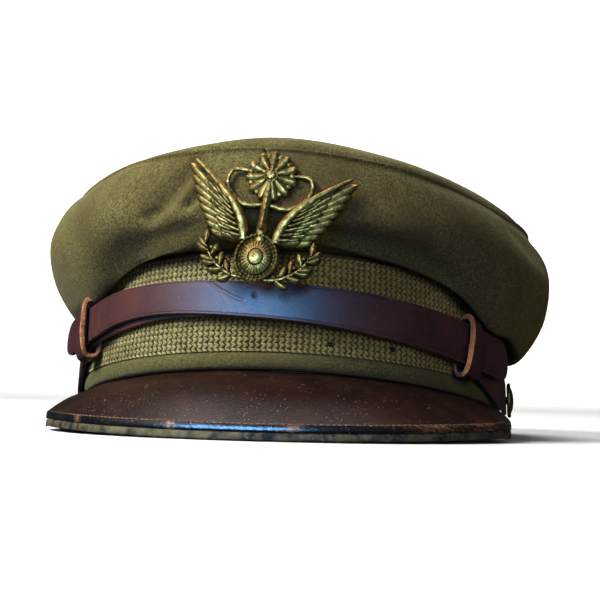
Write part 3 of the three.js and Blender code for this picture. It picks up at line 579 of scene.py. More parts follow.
class Look(Nodes):
    """One material of the cap."""

    def __init__(self, name, roughness, metallic=0.0, **constants):
        self.material = bpy.data.materials.new(name)
        self.material.use_nodes = True
        super().__init__(self.material.node_tree)
        self.shader = self.tree.nodes["Principled BSDF"]
        self.finish(Roughness=roughness, Metallic=metallic, **constants)
        self.place = self.add("ShaderNodeTexCoord").outputs["Object"]

    def effect(self, group, **given):
        return self.add("ShaderNodeGroup", given, node_tree=group).outputs

    def mark(self, name):
        return self.add("ShaderNodeAttribute", attribute_name=name).outputs["Fac"]

    def finish(self, **links):
        for socket, value in links.items():
            self.put(self.shader, socket.replace("_", " "), value)
        return self.material


def shared_effect(name, given, made, build):
    """A node group from its sockets and the function that fills it."""
    group = bpy.data.node_groups.new(name, "ShaderNodeTree")
    for label, kind in given.items():
        group.interface.new_socket(label, in_out="INPUT", socket_type="NodeSocket" + kind)
    for label, kind in made.items():
        group.interface.new_socket(label, in_out="OUTPUT", socket_type="NodeSocket" + kind)
    kit = Nodes(group)
    start = kit.add("NodeGroupInput").outputs
    end = kit.add("NodeGroupOutput")
    for label, socket in build(kit, start).items():
        kit.put(end, label, socket)
    return group


# Wool nap: short hairs that lie two ways, over broad browner patches

def fill_wool_nap(kit, given):
    grain = given["Grain"]
    leaning = kit.noise(kit.stretched(given["Place"], (0.6, 0.6, 1.1), (0, 0.75, 0.1)), grain, 4, 0.76)
    crossing = kit.noise(kit.stretched(given["Place"], (0.6, 0.65, 0.9), (0.2, -0.5, 0.3)), grain, 4, 0.76)
    hairs = kit.mix(0.42, leaning, crossing)
    clumps = kit.noise(kit.stretched(given["Place"], (1.3, 1.3, 1.7), (0, 0.6, 0)), 1.0, 3, 0.65)
    patches = kit.noise(given["Place"], 30.0, 3, 0.6, 0.8)
    cloth = kit.mix(kit.between(hairs, 0.4, 0.62), given["Dark"], given["Light"])
    cloth = kit.mix(kit.between(clumps, 0.46, 0.66, 0, 0.5), cloth, given["Dark"])
    cloth = kit.mix(kit.between(patches, 0.42, 0.66, 0, 0.75), cloth, given["Worn"])
    return {"Colour": cloth, "Hairs": hairs, "Clumps": clumps}


WOOL_NAP = shared_effect(
    "wool_nap", {"Place": "Vector", "Grain": "Float", "Dark": "Color", "Light": "Color", "Worn": "Color"},
    {"Colour": "Color", "Hairs": "Float", "Clumps": "Float"}, fill_wool_nap)


def wool_look(name, dark, light, worn_and_painted_highlight, grain=1.0, depth=0.0005):
    look = Look(name, 0.95, Sheen_Weight=0.2, Sheen_Roughness=0.4, Sheen_Tint=(0.68, 0.7, 0.45),
                Specular_IOR_Level=0.12)
    nap = look.effect(WOOL_NAP, Place=look.place, Grain=grain, Dark=dark, Light=light, Worn=worn_and_painted_highlight)
    normal = look.bump(nap["Clumps"], 0.5, 0.0009, look.bump(nap["Hairs"], 0.8, depth))
    return look.finish(Base_Color=nap["Colour"], Normal=normal)


# Yarn with painted shade: where the crest mark is low, at the stitches' sides and in the furrows between row
# pairs, the colour goes over to gap, a colour of painted shade.
def yarn_look(name, dark, light, gap):
    look = Look(name, 0.95, Sheen_Weight=0.08, Sheen_Roughness=0.5, Specular_IOR_Level=0.04)
    nap = look.effect(WOOL_NAP, Place=look.place, Grain=1.6, Dark=dark, Light=light,
                      Worn=(0.2, 0.16, 0.06))
    crest_shade_and_tone = look.between(look.mark("crest_shade_and_tone"), 0.05, 0.75)
    base = look.mix(crest_shade_and_tone, gap, nap["Colour"])
    return look.finish(Base_Color=base, Normal=look.bump(nap["Hairs"], 0.6, 0.0003))


# Leather: tone that wanders, pores, pale dust specks and fine scratches

def fill_leather_skin(kit, given):
    place = given["Place"]
    tone = kit.noise(place, given["Patch"], 4, 0.6, 0.5)
    pores = kit.noise(place, kit.math("MULTIPLY", given["Grain"], 1500.0), 4, 0.62)
    streaks = kit.noise(kit.stretched(place, (7, 1.1, 0.8), (0, 0.25, 0.5)), 1.0, 3, 0.6)
    skin = kit.mix(kit.between(tone, 0.35, 0.66), given["Dark"], given["Light"])
    skin = kit.mix(kit.between(pores, 0.52, 0.8, 0, 0.5), skin, (0.008, 0.005, 0.004))
    cells = kit.add("ShaderNodeTexVoronoi", {"Vector": place, "Scale": 620}).outputs["Distance"]
    specks = kit.between(cells, 0.1, 0.18, 1, 0)
    sparse = kit.between(kit.noise(place, 110.0, 2, 0.7), 0.46, 0.6)
    hair_lines = kit.noise(kit.stretched(place, (0.22, 9, 5), (0, 0.7, 0.4)), 1.0, 2, 0.5)
    lines = kit.between(hair_lines, 0.735, 0.76)
    marks = kit.math("MAXIMUM", kit.math("MULTIPLY", specks, sparse), lines)
    marks = kit.math("MULTIPLY", marks, given["Dust"])
    skin = kit.mix(marks, skin, (0.27, 0.23, 0.17))
    gloss = kit.between(kit.mix(0.7, streaks, pores), 0.35, 0.65, 0.85, 1.2)
    return {"Colour": skin, "Gloss": gloss, "Pores": pores, "Streaks": streaks}


LEATHER_SKIN = shared_effect(
    "leather_skin",
    {"Place": "Vector", "Grain": "Float", "Dark": "Color", "Light": "Color", "Dust": "Float",
     "Patch": "Float"},
    {"Colour": "Color", "Gloss": "Float", "Pores": "Float", "Streaks": "Float"}, fill_leather_skin)


def leather_look(name, dark, light, roughness, dust=0.5, grain=1.0, shine=0.5, wear=None, crease=0.3,
                 patch=42.0):
    """wear is the colour that shows on the corners marked as edge, patch the fineness of its tones. On the
    peak's face that mark also holds a line of painted highlight along the fold near the band.
    """
    look = Look(name, roughness, Specular_IOR_Level=shine)
    skin = look.effect(LEATHER_SKIN, Place=look.place, Grain=grain, Dark=dark, Light=light, Dust=dust,
                       Patch=patch)
    base = skin["Colour"]
    if wear:
        # The edge mark is wear, and on the peak's face also a line of painted highlight.
        worn_and_painted_highlight = look.math("MULTIPLY", look.mark("edge"), look.between(skin["Streaks"], 0.38, 0.6))
        base = look.mix(worn_and_painted_highlight, base, wear)
    rough = look.math("MULTIPLY", skin["Gloss"], roughness)
    normal = look.bump(skin["Streaks"], crease, 0.0005, look.bump(skin["Pores"], 0.3, 0.0002))
    return look.finish(Base_Color=base, Roughness=rough, Normal=normal)


def brass_look(name, dark, bright, roughness):
    look = Look(name, roughness, 1.0)
    tarnish = look.noise(look.place, 330.0, 5, 0.7, 0.8)
    fine = look.noise(look.place, 900.0, 3, 0.65)
    hollows = look.add("ShaderNodeAmbientOcclusion", {"Distance": 0.0035}, samples=8, only_local=True)
    open_air = look.between(hollows.outputs["AO"], 0.5, 1.0)
    clean = look.math("MULTIPLY", open_air, look.between(tarnish, 0.4, 0.6, 0.15, 1))
    rough = look.between(clean, 0, 1, roughness * 1.8, roughness)
    metal = look.mix(clean, dark, bright)
    return look.finish(Base_Color=metal, Roughness=rough, Normal=look.bump(fine, 0.5, 0.0003))


WOOL = wool_look("crown_wool", (0.034, 0.028, 0.008), (0.26, 0.228, 0.072), (0.075, 0.05, 0.015))
BAND_WOOL = wool_look("band_wool", (0.045, 0.042, 0.012), (0.2, 0.19, 0.068),
                      (0.09, 0.075, 0.024), 1.2, 0.0003)
# Its last colour is painted shade, for the gaps between the stitches and the tape behind them.
BRAID_YARN = yarn_look("braid_yarn", (0.22, 0.205, 0.085), (0.56, 0.55, 0.3), (0.07, 0.058, 0.024))
PEAK_BROWN = leather_look("peak_brown", (0.0115, 0.0044, 0.0038), (0.03, 0.0105, 0.008),
                          0.33, 0.9, shine=0.17, wear=(0.3, 0.15, 0.08))
PEAK_BINDING = leather_look("peak_binding", (0.003, 0.004, 0.006), (0.01, 0.011, 0.015),
                            0.24, 0.9, 0.6, 0.6, wear=(0.34, 0.17, 0.09))
PEAK_GREEN = leather_look("peak_green", (0.006, 0.005, 0.003), (0.16, 0.145, 0.075),
                          0.75, 0.8, 0.5, shine=0.2, patch=170.0)
STRAP_BURGUNDY = leather_look("strap_burgundy", (0.04, 0.0126, 0.013), (0.088, 0.0265, 0.0265),
                              0.45, 0.5, shine=0.36, wear=(0.13, 0.08, 0.065), crease=0.08)
KEEPER_BROWN = leather_look("keeper_brown", (0.035, 0.0105, 0.011), (0.078, 0.023, 0.022), 0.42, 0.4)
RAW_EDGE = wool_look("raw_leather_edge", (0.22, 0.08, 0.03), (0.9, 0.45, 0.22),
                     (0.5, 0.22, 0.1), 0.8, 0.0006)
BRASS = brass_look("aged_brass", (0.03, 0.014, 0.005), (0.48, 0.252, 0.056), 0.34)
# A near-black colour of painted shade, for the insides of the braid's two pin holes.
HOLE_PAINTED_SHADE = wool_look("pin_hole_painted_shade", (0.002, 0.002, 0.001), (0.012, 0.01, 0.005), (0.004, 0.003, 0.002))
THREAD = wool_look("worn_thread", (0.1, 0.06, 0.03), (0.5, 0.36, 0.2), (0.06, 0.035, 0.02), 1.5, 0.0002)


# Band and braid

def ring(profile, turns=181):
    """A closed ring of the band with the given profile of (out, height)."""
    places, at = section(profile)

    def face(turn, place):
        out, height = at(place)
        return on_band(turn, out, height + side_dip(turn))

    return facing_out(surface(face, np.linspace(0, 360, turns), places))


def make_band():
    inside = [(-BAND_WALL, height) for height in (0.5, 4, 24, 46, 48.2)]
    profile = inside + [(-2.3, 48.4), (-0.3, 48.4), (0, 48.2), (0, 46), (0, 24), (0, 8.4), (0.1, 6.8),
                        (0.8, 6), (1.15, 4.8), (1.2, 3.2), (0.8, 1.5), (0, 0.35), (-1, 0), (-2.2, 0.1)]
    band = dress(ring(profile), "band_cloth", BAND_WOOL, ["cap_band"])
    smooth = band.modifiers.new("rounding", "SUBSURF")
    smooth.levels = smooth.render_levels = 1


def loose_stitches(count):
    """Small pads of thread, with the number of its stitch and the place on it, from -1 to 1 along
    and across, for each corner."""
    bm = bmesh.new()
    bmesh.ops.create_grid(bm, x_segments=4, y_segments=2, size=0.5)
    one = len(bm.verts), len(bm.edges), len(bm.faces)
    made = 1
    while made < count:
        more = min(made, count - made)
        old = [*bm.verts[:more * one[0]], *bm.edges[:more * one[1]], *bm.faces[:more * one[2]]]
        new = bmesh.ops.duplicate(bm, geom=old)["geom"]
        verts = [g for g in new if isinstance(g, bmesh.types.BMVert)]
        bmesh.ops.translate(bm, verts=verts, vec=(2 * made, 0, 0))
        for part in (bm.verts, bm.edges, bm.faces):
            part.ensure_lookup_table()
        made += more
    flat = np.array([v.co[:] for v in bm.verts])
    number = np.round(flat[:, 0] / 2).astype(int)
    return bm, number, 2 * (flat[:, 0] - 2 * number), 2 * flat[:, 1]


def make_braid():
    low, high = BRAID_LOW, BRAID_HIGH
    backing = [(0.3, low), (0.3, high), (0.6, high - 0.1), (0.62, 27), (0.6, low + 0.1)]
    count = BRAID_ROWS * BRAID_COLUMNS
    stitches, number, side, run = loose_stitches(count)
    row, column = number // BRAID_COLUMNS, number % BRAID_COLUMNS
    rng = np.random.default_rng(4)
    slip = rng.uniform(-1, 1, (count, 4))[number]
    pitch, row_high = 360 / BRAID_COLUMNS, 39.4 / BRAID_ROWS
    slope = np.where(row % 2, 1, -1)
    x = side * (1.1 + 0.06 * slip[:, 0]) + slope * run * 0.62
    furrow = clamp(-slope * run) ** 2
    y = run * row_high * 0.56 + 0.1 * side * slip[:, 2]
    across = (column + 0.5) * pitch + (x + 0.1 * slip[:, 1]) / BAND_DEGREE
    height = np.clip(low + (row + 0.5) * row_high + y + 0.06 * slip[:, 2], low - 0.2, high + 0.1)
    # The crest mark paints shade: it is lower at the stitches' sides and in the furrows between row pairs.
    # Its random factor is each stitch's own tone.
    crest_shade_and_tone = (1 - 0.55 * furrow) * (1 - 0.75 * np.abs(side) ** 3) * (0.88 + 0.2 * slip[:, 0])
    out = 0.5 + (0.75 + 0.12 * slip[:, 3]) * (1 - 0.6 * furrow - 0.3 * run**2) * (1 - 0.7 * side**2)
    place_corners(stitches, on_band(across, out, height + side_dip(across)), {"crest_shade_and_tone": crest_shade_and_tone})
    facing_out(stitches)
    holes = [Vector(to_rest([on_band(np.array(turn), 1, np.array(up))])[0]) for turn, up in BRAID_HOLES]

    def at_a_hole(part):
        middle = part.calc_center_median()
        return middle.y < -0.05 and min((middle - hole).length for hole in holes) < 0.0011

    cut = [part for part in stitches.faces if at_a_hole(part)]
    bmesh.ops.delete(stitches, geom=cut, context="FACES")
    # The tape carries no crest mark, so it takes the yarn's colour of painted shade all over.
    tape = dress(ring(backing, 145), "braid_tape", BRAID_YARN, ["braid_band"])
    weave = dress(stitches, "braid_weave", BRAID_YARN)
    # The pin holes' insides are dark discs of painted shade, set behind the holes cut in the weave.
    hollows = gathered([pin_hole(turn, up) for turn, up in BRAID_HOLES])
    dress(hollows, "braid_pin_hole_shade_discs", HOLE_PAINTED_SHADE)


def pin_hole(turn, high):
    """A disc of painted shade for the dark inside of a small hole, pushed in at its middle."""
    def face(around, radius):
        across = turn + radius * np.cos(around) / BAND_DEGREE
        height = high + radius * np.sin(around)
        return on_band(across, 0.68 + 0.3 * (radius / HOLE_RADIUS) ** 2, height)

    return surface(face, full_turn(16), np.linspace(0, HOLE_RADIUS, 4))


# Crown

# Folds of the crown's sides: points of turn and rise, depth, half width
FOLDS = [
    ([(-16.5, 0.9), (-18, 0.86), (-19.5, 0.81), (-22, 0.75), (-27, 0.66)], 3.4, 4),
    ([(-13.5, 0.83), (-14.5, 0.77), (-17, 0.71)], 3.4, 2.6),
    ([(-16, 0.54), (-25, 0.52), (-33, 0.5), (-42, 0.48)], 1.6, 5),
    ([(12, 0.52), (20, 0.51), (31, 0.505), (39, 0.5), (47, 0.48)], 2.2, 5),
    ([(30, 0.78), (44, 0.72), (58, 0.7)], 0.9, 9),
    ([(66, 0.86), (72, 0.8), (80, 0.78)], 1.4, 5),
    ([(120, 0.4), (135, 0.5), (158, 0.55)], 2.2, 9),
    ([(-110, 0.5), (-128, 0.55), (-150, 0.5)], 2.2, 9),
    ([(172, 0.8), (178, 0.7), (190, 0.62)], 1.6, 6),
    ([(-84, 0.82), (-92, 0.74), (-104, 0.7)], 1.5, 6),
]
# Where the cloth is tucked in under its widest part: turn, depth, half width, rise it ends at
TUCKS = [(-48, 3.5, 28, 0.54), (42, 3.3, 24, 0.52)]
# Where it hangs lower: turn, drop, half width
HANGS = [(63, 7, 8.5), (-54, 4.5, 12)]
# At a seam: degrees left free on each side, and depth and half width in degrees of the cloth's roll
SEAM_GAP = 0.004
SEAM_ROLL = 0.9
SEAM_ROLL_TURN = 0.9 / 1.75
# Steps in turn and in share of the way up that a surface's slope is measured over
SLOPE_STEPS = (0.25, 0.004)


def distance_to_path(here, points):
    nearest = np.full(here.shape[:-1], 1e9)
    for start, end in zip(points, points[1:]):
        share = clamp(((here - start) @ (end - start)) / ((end - start) @ (end - start)))
        gap = np.linalg.norm(here - start - share[..., None] * (end - start), axis=-1)
        nearest = np.minimum(nearest, gap)
    return nearest


def crown_relief(turn, rise):
    left = (1 - rise) * 140
    ridge = 1.1 * bell(left, 2.6, 1.6) - 1.8 * bell(left, 0, 0.9)
    soft = 0.5 * wander(turn / 9, rise * 9, 3) + 0.3 * wander(turn / 3.4, rise * 20, 8)
    scale = (MM_A_DEGREE, MM_A_RISE)
    for path, depth, wide in FOLDS:
        here = np.stack((turn_near(turn, path[0][0]), rise), -1) * scale
        soft = soft - depth * bell(distance_to_path(here, np.array(path, float) * scale), 0, wide)
    return ridge + soft * clamp(rise * 5 - 0.6) * clamp(left / 8)


def make_quarter(corner, start, end):
    shape = with_relief(crown_side, crown_relief, *SLOPE_STEPS)

    def face(turn, rise):
        point = shape(turn, rise)
        near = turn_near(turn, 0)
        tuck = sum(depth * bell(near, at, wide) / (1 + np.exp((rise - below) / 0.045))
                   for at, depth, wide, below in TUCKS)
        roll = SEAM_ROLL * bell(to_nearer(turn, start, end), 0, SEAM_ROLL_TURN) * clamp(rise * 6 - 1)
        inward = tuck * clamp(rise * 14 - 0.8) + roll
        point = point - unit(point * np.array([1, 1, 0])) * inward[..., None]
        hang = sum(drop * bell(near, at, wide) for at, drop, wide in HANGS)
        point[..., 2] -= hang * bell(rise, 0.42, 0.2)
        return point

    turns = np.linspace(start, end, int((end - start) * 1.6) + 1)[1:-1]
    near_seam = np.array([SEAM_GAP, 0.25, 0.6, 1.1])
    turns = np.unique(np.concatenate((turns, start + near_seam, end - near_seam)))
    bm = surface(face, turns, finer_at_end(0.9, 84, 25))
    piece = dress(bm, "crown_side_" + corner, WOOL, ["crown_quarter_" + corner])
    thicken(piece)


def make_top():
    def relief(turn, across):
        left = (1 - across) * 105
        groove = -1.2 * bell(left, 0, 0.8) + 0.35 * bell(left, 2.2, 1.3)
        x, y = across * np.sin(np.radians(turn)), across * np.cos(np.radians(turn))
        soft = 0.6 * wander(x * 5, y * 5, 21) * clamp(left / 10)
        return groove + soft * clamp(across * 4)

    shape = with_relief(crown_top, relief, *SLOPE_STEPS, -1)
    bm = facing_out(surface(shape, np.linspace(0, 360, 301), finer_at_end(0.93, 42, 16)))
    if sum(part.normal.z for part in bm.faces) < 0:
        bmesh.ops.reverse_faces(bm, faces=bm.faces[:])
    top = dress(bm, "crown_top_panel", WOOL, ["crown_top"])
    thicken(top)


# Peak

EDGE_STITCHES = 128
# Places of the rim where the leather is worn through: where, half width
TORN = [(0.47, 0.07), (0.64, 0.05), (-0.19, 0.012), (-0.5, 0.01), (0.1, 0.02)]
# Shares of the way out where the layers' sections have their corners
PEAK_OVER = (0, 0.04, 0.1, 0.25, 0.45, 0.65, 0.8, 0.9, 0.96, 0.981)
PEAK_BELOW = (0.981, 0.9, 0.6, 0.3, 0)
# Places along such a section: where its rim starts, the bound stretch, where its underside starts
RIM_START = 10
RIM_BOUND = (10.2, 15.2)
UNDERSIDE = 16


def peak_piece(name, node, material, layer, relief, binding=None):
    """A layer of the peak: its section runs over the top, round the edge and back below."""
    top, bottom = layer
    rim = [(0.9905, top + 0.2), (0.9975, top + 0.75), (1, (top + bottom) / 2), (0.9975, bottom - 0.75),
           (0.9905, bottom - 0.2)]
    places, at = section([*((out, top) for out in PEAK_OVER), *rim, *((out, bottom) for out in PEAK_BELOW)])

    def face(where, place):
        across, drop = at(place)
        point = peak_face(where, across)
        above = clamp((drop - top) / -0.5 + 1) * (place < RIM_START)
        point[..., 2] += -drop + relief(where, across) * above
        return point

    def edge(where, place):
        across = at(place)[0]
        # A pale worn line at the lip, and at across 0.12 a pale line of painted highlight along the fold
        # where the leather turns up near the band.
        worn_and_painted_highlight = 0.22 * bell(across, 0.975, 0.006) + 0.3 * bell(across, 0.12, 0.012)
        torn = sum(bell(where, spot, wide) for spot, wide in TORN) * bell(across, 0.993, 0.012)
        return clamp(worn_and_painted_highlight + torn) * (place < UNDERSIDE)

    steps = [np.linspace(a, a + 1, 5 if a < RIM_START else 3)[:-1] for a in places[:-1]]
    dense = np.concatenate(steps + [[places[-1]]])
    strips = [RIM_BOUND] if binding else ()
    shell = closed_up(surface(face, np.linspace(-1, 1, 241), dense, {"edge": edge}, strips))
    dress(shell, name, material, [node], binding)


def make_edge_stitches():
    stitches, number, run, side = loose_stitches(EDGE_STITCHES)
    rng = np.random.default_rng(9)
    slip = rng.uniform(-1, 1, (EDGE_STITCHES, 2))[number]
    where = np.linspace(-0.93, 0.93, EDGE_STITCHES)[number] + run * (0.0052 + 0.0012 * slip[:, 0])
    points = peak_face(where, 0.983 + 0.0018 * side + 0.0008 * run * slip[:, 1])
    points[:, 2] += 0.03 + 0.22 * (1 - side**2) * (1 - run**4)
    place_corners(stitches, points, {})
    dress(facing_out(stitches), "peak_edge_stitches", THREAD)


def make_peak():
    def upper(where, across):
        rim = 0.5 * bell(across, 0.11, 0.02) - 0.35 * bell(across, 0.15, 0.02)
        return rim + 0.25 * wander(where * 14, across * 7, 5)

    def flat(where, across):
        return 0 * across

    make_edge_stitches()
    peak_piece("peak_face", "peak_upper", PEAK_BROWN, PEAK_UPPER, upper, PEAK_BINDING)
    peak_piece("peak_lining", "peak_lower", PEAK_GREEN, PEAK_LOWER, flat)


# Straps

# An old fold and a small dent in the outer strap: turn, millimetres above its middle
STRAP_FOLD = [(-13.1, 6.6), (-9.8, 3), (-6.4, 0.5), (-4.5, -0.6)]
STRAP_DENT = (-1.5, 1.7)
# Right half of a strap's outer face from its middle, with the pressed line near its edge
STRAP_FACE = [
    (0.2, 2.08), (0.6, 2.05), (0.846, 2), (0.868, 1.8), (0.89, 2), (0.95, 2), (0.985, 1.85), (1, 1.5),
]
STRAP_BACK = [(1, 0.45), (0.96, 0.05), (0.5, 0), (0, 0), (-0.5, 0), (-0.96, 0.05)]
# Places along the whole section that the old marks lie between
MARKED = (3, 14)


def strap_marks(turn, up):
    here = np.stack((turn * MM_A_DEGREE, up), -1)
    points = np.array(STRAP_FOLD) * (MM_A_DEGREE, 1)
    depth = 0.28 * bell(distance_to_path(here, points), 0, 0.7)
    depth = depth - 0.12 * bell(distance_to_path(here - (0.9, 0.8), points), 0, 0.9)
    dent = np.hypot(here[..., 0] - STRAP_DENT[0] * MM_A_DEGREE, up - STRAP_DENT[1])
    return depth + 0.5 * bell(dent, 0, 0.9) + 0.2 * bell(dent, 0, 3.2)


def strap_width(turn, first, last, narrow):
    left = np.maximum(to_nearer(turn, first, last), 0) * math.radians(1) * (HALF_WIDTH + 4)
    full = along(STRAP_WIDTHS, turn)
    half = full / 2
    blunt = np.clip(left, 0.05, half)
    width = np.where(left >= half, full, 2 * np.sqrt(half**2 - (half - blunt) ** 2))
    if narrow:
        share = np.minimum(to_nearer(turn, first, last) / 20, 1)
        width = np.minimum(width, TAB_WIDTH + (full - TAB_WIDTH) * share)
    return width


def strap_piece(name, node, line, face_out, narrow=False):
    first, last = line[0][0], line[-1][0]
    left_face = [(-side, out) for side, out in reversed(STRAP_FACE)]
    places, at = section([(-1, 0.45), *left_face, *STRAP_FACE, *STRAP_BACK])

    def face(turn, place):
        side, thick = at(place)
        up = side * strap_width(turn, first, last, narrow) / 2
        out = thick + face_out + along(line, turn, 2)
        if not narrow:
            out = out - strap_marks(turn, up) * ((place > MARKED[0]) & (place < MARKED[1]))
        return strap_at(line, turn, up, out)

    dense = np.unique(np.concatenate((places, np.arange(6, 11, 0.2))))
    ends = np.array([0.02, 0.15, 0.4, 0.8, 1.3, 1.9, 2.6, 3.4, 4.2])
    turns = np.unique(np.concatenate((first + ends, np.linspace(first + 5, last - 5, 200), last - ends)))
    if not narrow:
        turns = np.unique(np.concatenate((turns, np.arange(-14, 1.5, 0.25))))

    def edge(turn, place):
        return np.clip(bell(np.abs(at(place)[0]), 0.985, 0.03), 0, 1)

    strap = closed_up(surface(face, turns, dense, {"edge": edge}))
    dress(strap, name, STRAP_BURGUNDY, [node])


def make_straps():
    strap_piece("strap_outer", "strap_over", STRAP_OVER, OVER_FACE)
    tab = TAB_LENGTH / (math.radians(1) * HALF_WIDTH)
    line = list(STRAP_UNDER)
    line[0] = (line[0][0] - tab, *line[0][1:])
    line[-1] = (line[-1][0] + tab, *line[-1][1:])
    strap_piece("strap_inner", "strap_under", line, UNDER_FACE, True)


# Keepers and buttons

# Section of a keeper's leather, and the stretches of it that show raw on each keeper's mouth side
KEEPER_EDGE = [
    (-1, 0.4), (-0.97, 0), (-0.5, -0.05), (0.5, -0.05), (0.97, 0), (1, 0.4), (1, 1.2), (0.96, 1.6),
    (0.5, 1.65), (0, 1.68), (-0.5, 1.65), (-0.96, 1.6), (-1, 1.2),
]
KEEPER_RAW = {1: [(-0.1, 1.1), (11, 13.1)], -1: [(4.9, 7)]}
KEEPER_FLARE = {1: 0.7, -1: 0.3}
KEEPER_ROUNDNESS = 0.62


def make_keeper(hand, side):
    """A leather loop round both straps, its raw edges showing."""
    lift = along(STRAP_OVER, np.array(float(side * KEEPER_TURN)), 2)
    back, front = UNDER_FACE + 0.9, OVER_FACE + STRAP_THICK + lift + 1.4
    places, at = section(KEEPER_EDGE)

    def rounded(middle, reach, wave):
        return middle + reach * np.sign(wave) * np.abs(wave) ** KEEPER_ROUNDNESS

    def face(around, place):
        c, s = np.cos(around), np.sin(around)
        width, wall = at(place)
        loop_up = rounded((KEEPER_TOP + KEEPER_FOOT) / 2, (KEEPER_TOP - KEEPER_FOOT) / 2, s)
        loop_out = rounded((front + back) / 2, (front - back) / 2, c)
        mouth = clamp(-width * side) ** 2 * clamp(c + 0.4)
        turn = side * KEEPER_TURN + width * KEEPER_HALF_WIDTH + 0.25 * wander(around * 3, width, 7 + side)
        grow = (wall - 0.2) * (1 + 0.7 * mouth) + KEEPER_FLARE[side] * mouth
        return strap_at(STRAP_OVER, turn, loop_up + grow * s, np.maximum(loop_out + grow * c, 1.62))

    bm = facing_out(surface(face, full_turn(96), places, strips=KEEPER_RAW[side]))
    dress(bm, "keeper_loop_" + hand, KEEPER_BROWN, ["keeper_" + hand], RAW_EDGE)


# A button's section: radius, height off the strap, from its shank to the middle of its face
BUTTON_SECTION = [
    (0, -2), (1.7, -2), (1.7, 0), (6.6, 0.05), (7.5, 0.4), (7.8, 0.9), (7.75, 1.4), (7.3, 1.75),
    (6.9, 1.7), (6.6, 1.5), (6.2, 1.6), (5.2, 2.1), (3.6, 2.65), (1.8, 2.95), (0, 3.05),
]
BUTTON_SEAT = 3.9


def make_button(hand):
    """A plain domed face with a raised rim on a short shank."""
    places, at = section(BUTTON_SECTION, False)
    turn, height = np.array(BUTTONS[hand], float)
    centre = on_band(turn, 0, height)
    outward = band_outward(turn)
    level = unit(np.cross(outward, [0, 0, 1]))
    above = np.cross(level, outward)

    def face(around, step):
        radius, out = at(step)
        x, y = radius * np.cos(around), radius * np.sin(around)
        return centre + outward * (BUTTON_SEAT + out)[..., None] + level * x[..., None] + above * y[..., None]

    bm = surface(face, full_turn(48), np.linspace(0, places[-1], 43))
    dress(facing_out(bm), "side_button_" + hand, BRASS, ["button_" + hand])


# Badge, worked out flat: x right, y up, z towards the viewer

def on_badge(x, y, z):
    y = y - BADGE_MIDDLE
    c, s = math.cos(BADGE_ROLL), math.sin(BADGE_ROLL)
    x, y = x * c + y * s, y * c - x * s
    z = z - x**2 / (2 * BADGE_BEND)
    c, s = math.sin(BADGE_LEAN), math.cos(BADGE_LEAN)
    return np.stack((x, y * c - z * s, y * s + z * c), -1) + BADGE_CENTRE


# Half width of a pad along its run
FEATHER = [(0, 0.34), (0.45, 0.5), (0.8, 0.44), (0.94, 0.28), (1, 0.06)]
LEAF = [(0, 0.2), (0.5, 0.5), (0.8, 0.36), (1, 0.03)]
BARB_PITCH = 0.85


def blade(x, y, aim, length, width, ridge, bend=0, base=0, mirror=1, barbs=0.1, shape=FEATHER):
    """A feather or leaf from its root: a raised quill and fine barbs on a rounded pad."""
    def face(run, side):
        angle = np.radians(aim + bend * run)
        half = width * along(shape, run)
        away = np.abs(side)
        px = x + np.cos(angle) * length * run - np.sin(angle) * half * side
        py = y + np.sin(angle) * length * run + np.cos(angle) * half * side
        round_off = (1 - away ** 2.4) ** 0.7 * clamp((1.02 - run) / 0.14) ** 0.5
        waves = np.cos((run * length / BARB_PITCH - away * 1.1) * 2 * math.pi)
        cuts = barbs * waves * clamp(away * 3 - 0.4)
        quill = 0.28 * bell(side, 0, 0.14)
        high = base + (ridge - base) * (0.75 + 0.25 * (1 - run)) + cuts + quill
        return on_badge(px * mirror, py, high * round_off)

    runs = np.linspace(0, 1, max(int(length * 2.4), 8))
    return closed_up(surface(face, runs, np.linspace(-1, 1, 11)))


def rod(points, mirror=1, sides=10, rope=0):
    """A tapered bar through points of x, y, radius and height."""
    path = np.array(points, float)
    keys = np.arange(len(path), dtype=float)

    def line(run, column):
        return along(np.column_stack((keys, path[:, column])), run)

    def face(run, around):
        dx = line(run + 0.05, 0) - line(run - 0.05, 0)
        dy = line(run + 0.05, 1) - line(run - 0.05, 1)
        size = np.hypot(dx, dy)
        full = line(run, 2)
        radius = full * (1 + rope * np.sin(run * 14 + around * 2))
        px = line(run, 0) - dy / size * radius * np.cos(around)
        py = line(run, 1) + dx / size * radius * np.cos(around)
        high = line(run, 3) - full + radius * np.sin(around)
        return on_badge(px * mirror, py, np.maximum(high, 0))

    runs = np.linspace(0, len(path) - 1, 10 * len(path))
    return closed_up(surface(face, runs, full_turn(sides)))


def boss(x, y, rx, ry, profile, flutes=0, depth=0, steps=72):
    """A round boss with a profile of (share of radius, height), and flutes round it."""
    places, at = section(profile, False)

    def face(around, place):
        share, high = at(place)
        fluted = depth * np.cos(around * flutes) * clamp(share * 2.5 - 0.6)
        high = high + fluted * clamp((1 - share) * 12)
        return on_badge(x + rx * share * np.cos(around), y + ry * share * np.sin(around), high)

    rings = np.linspace(0, places[-1], 4 * len(places))
    return facing_out(surface(face, full_turn(steps), rings))


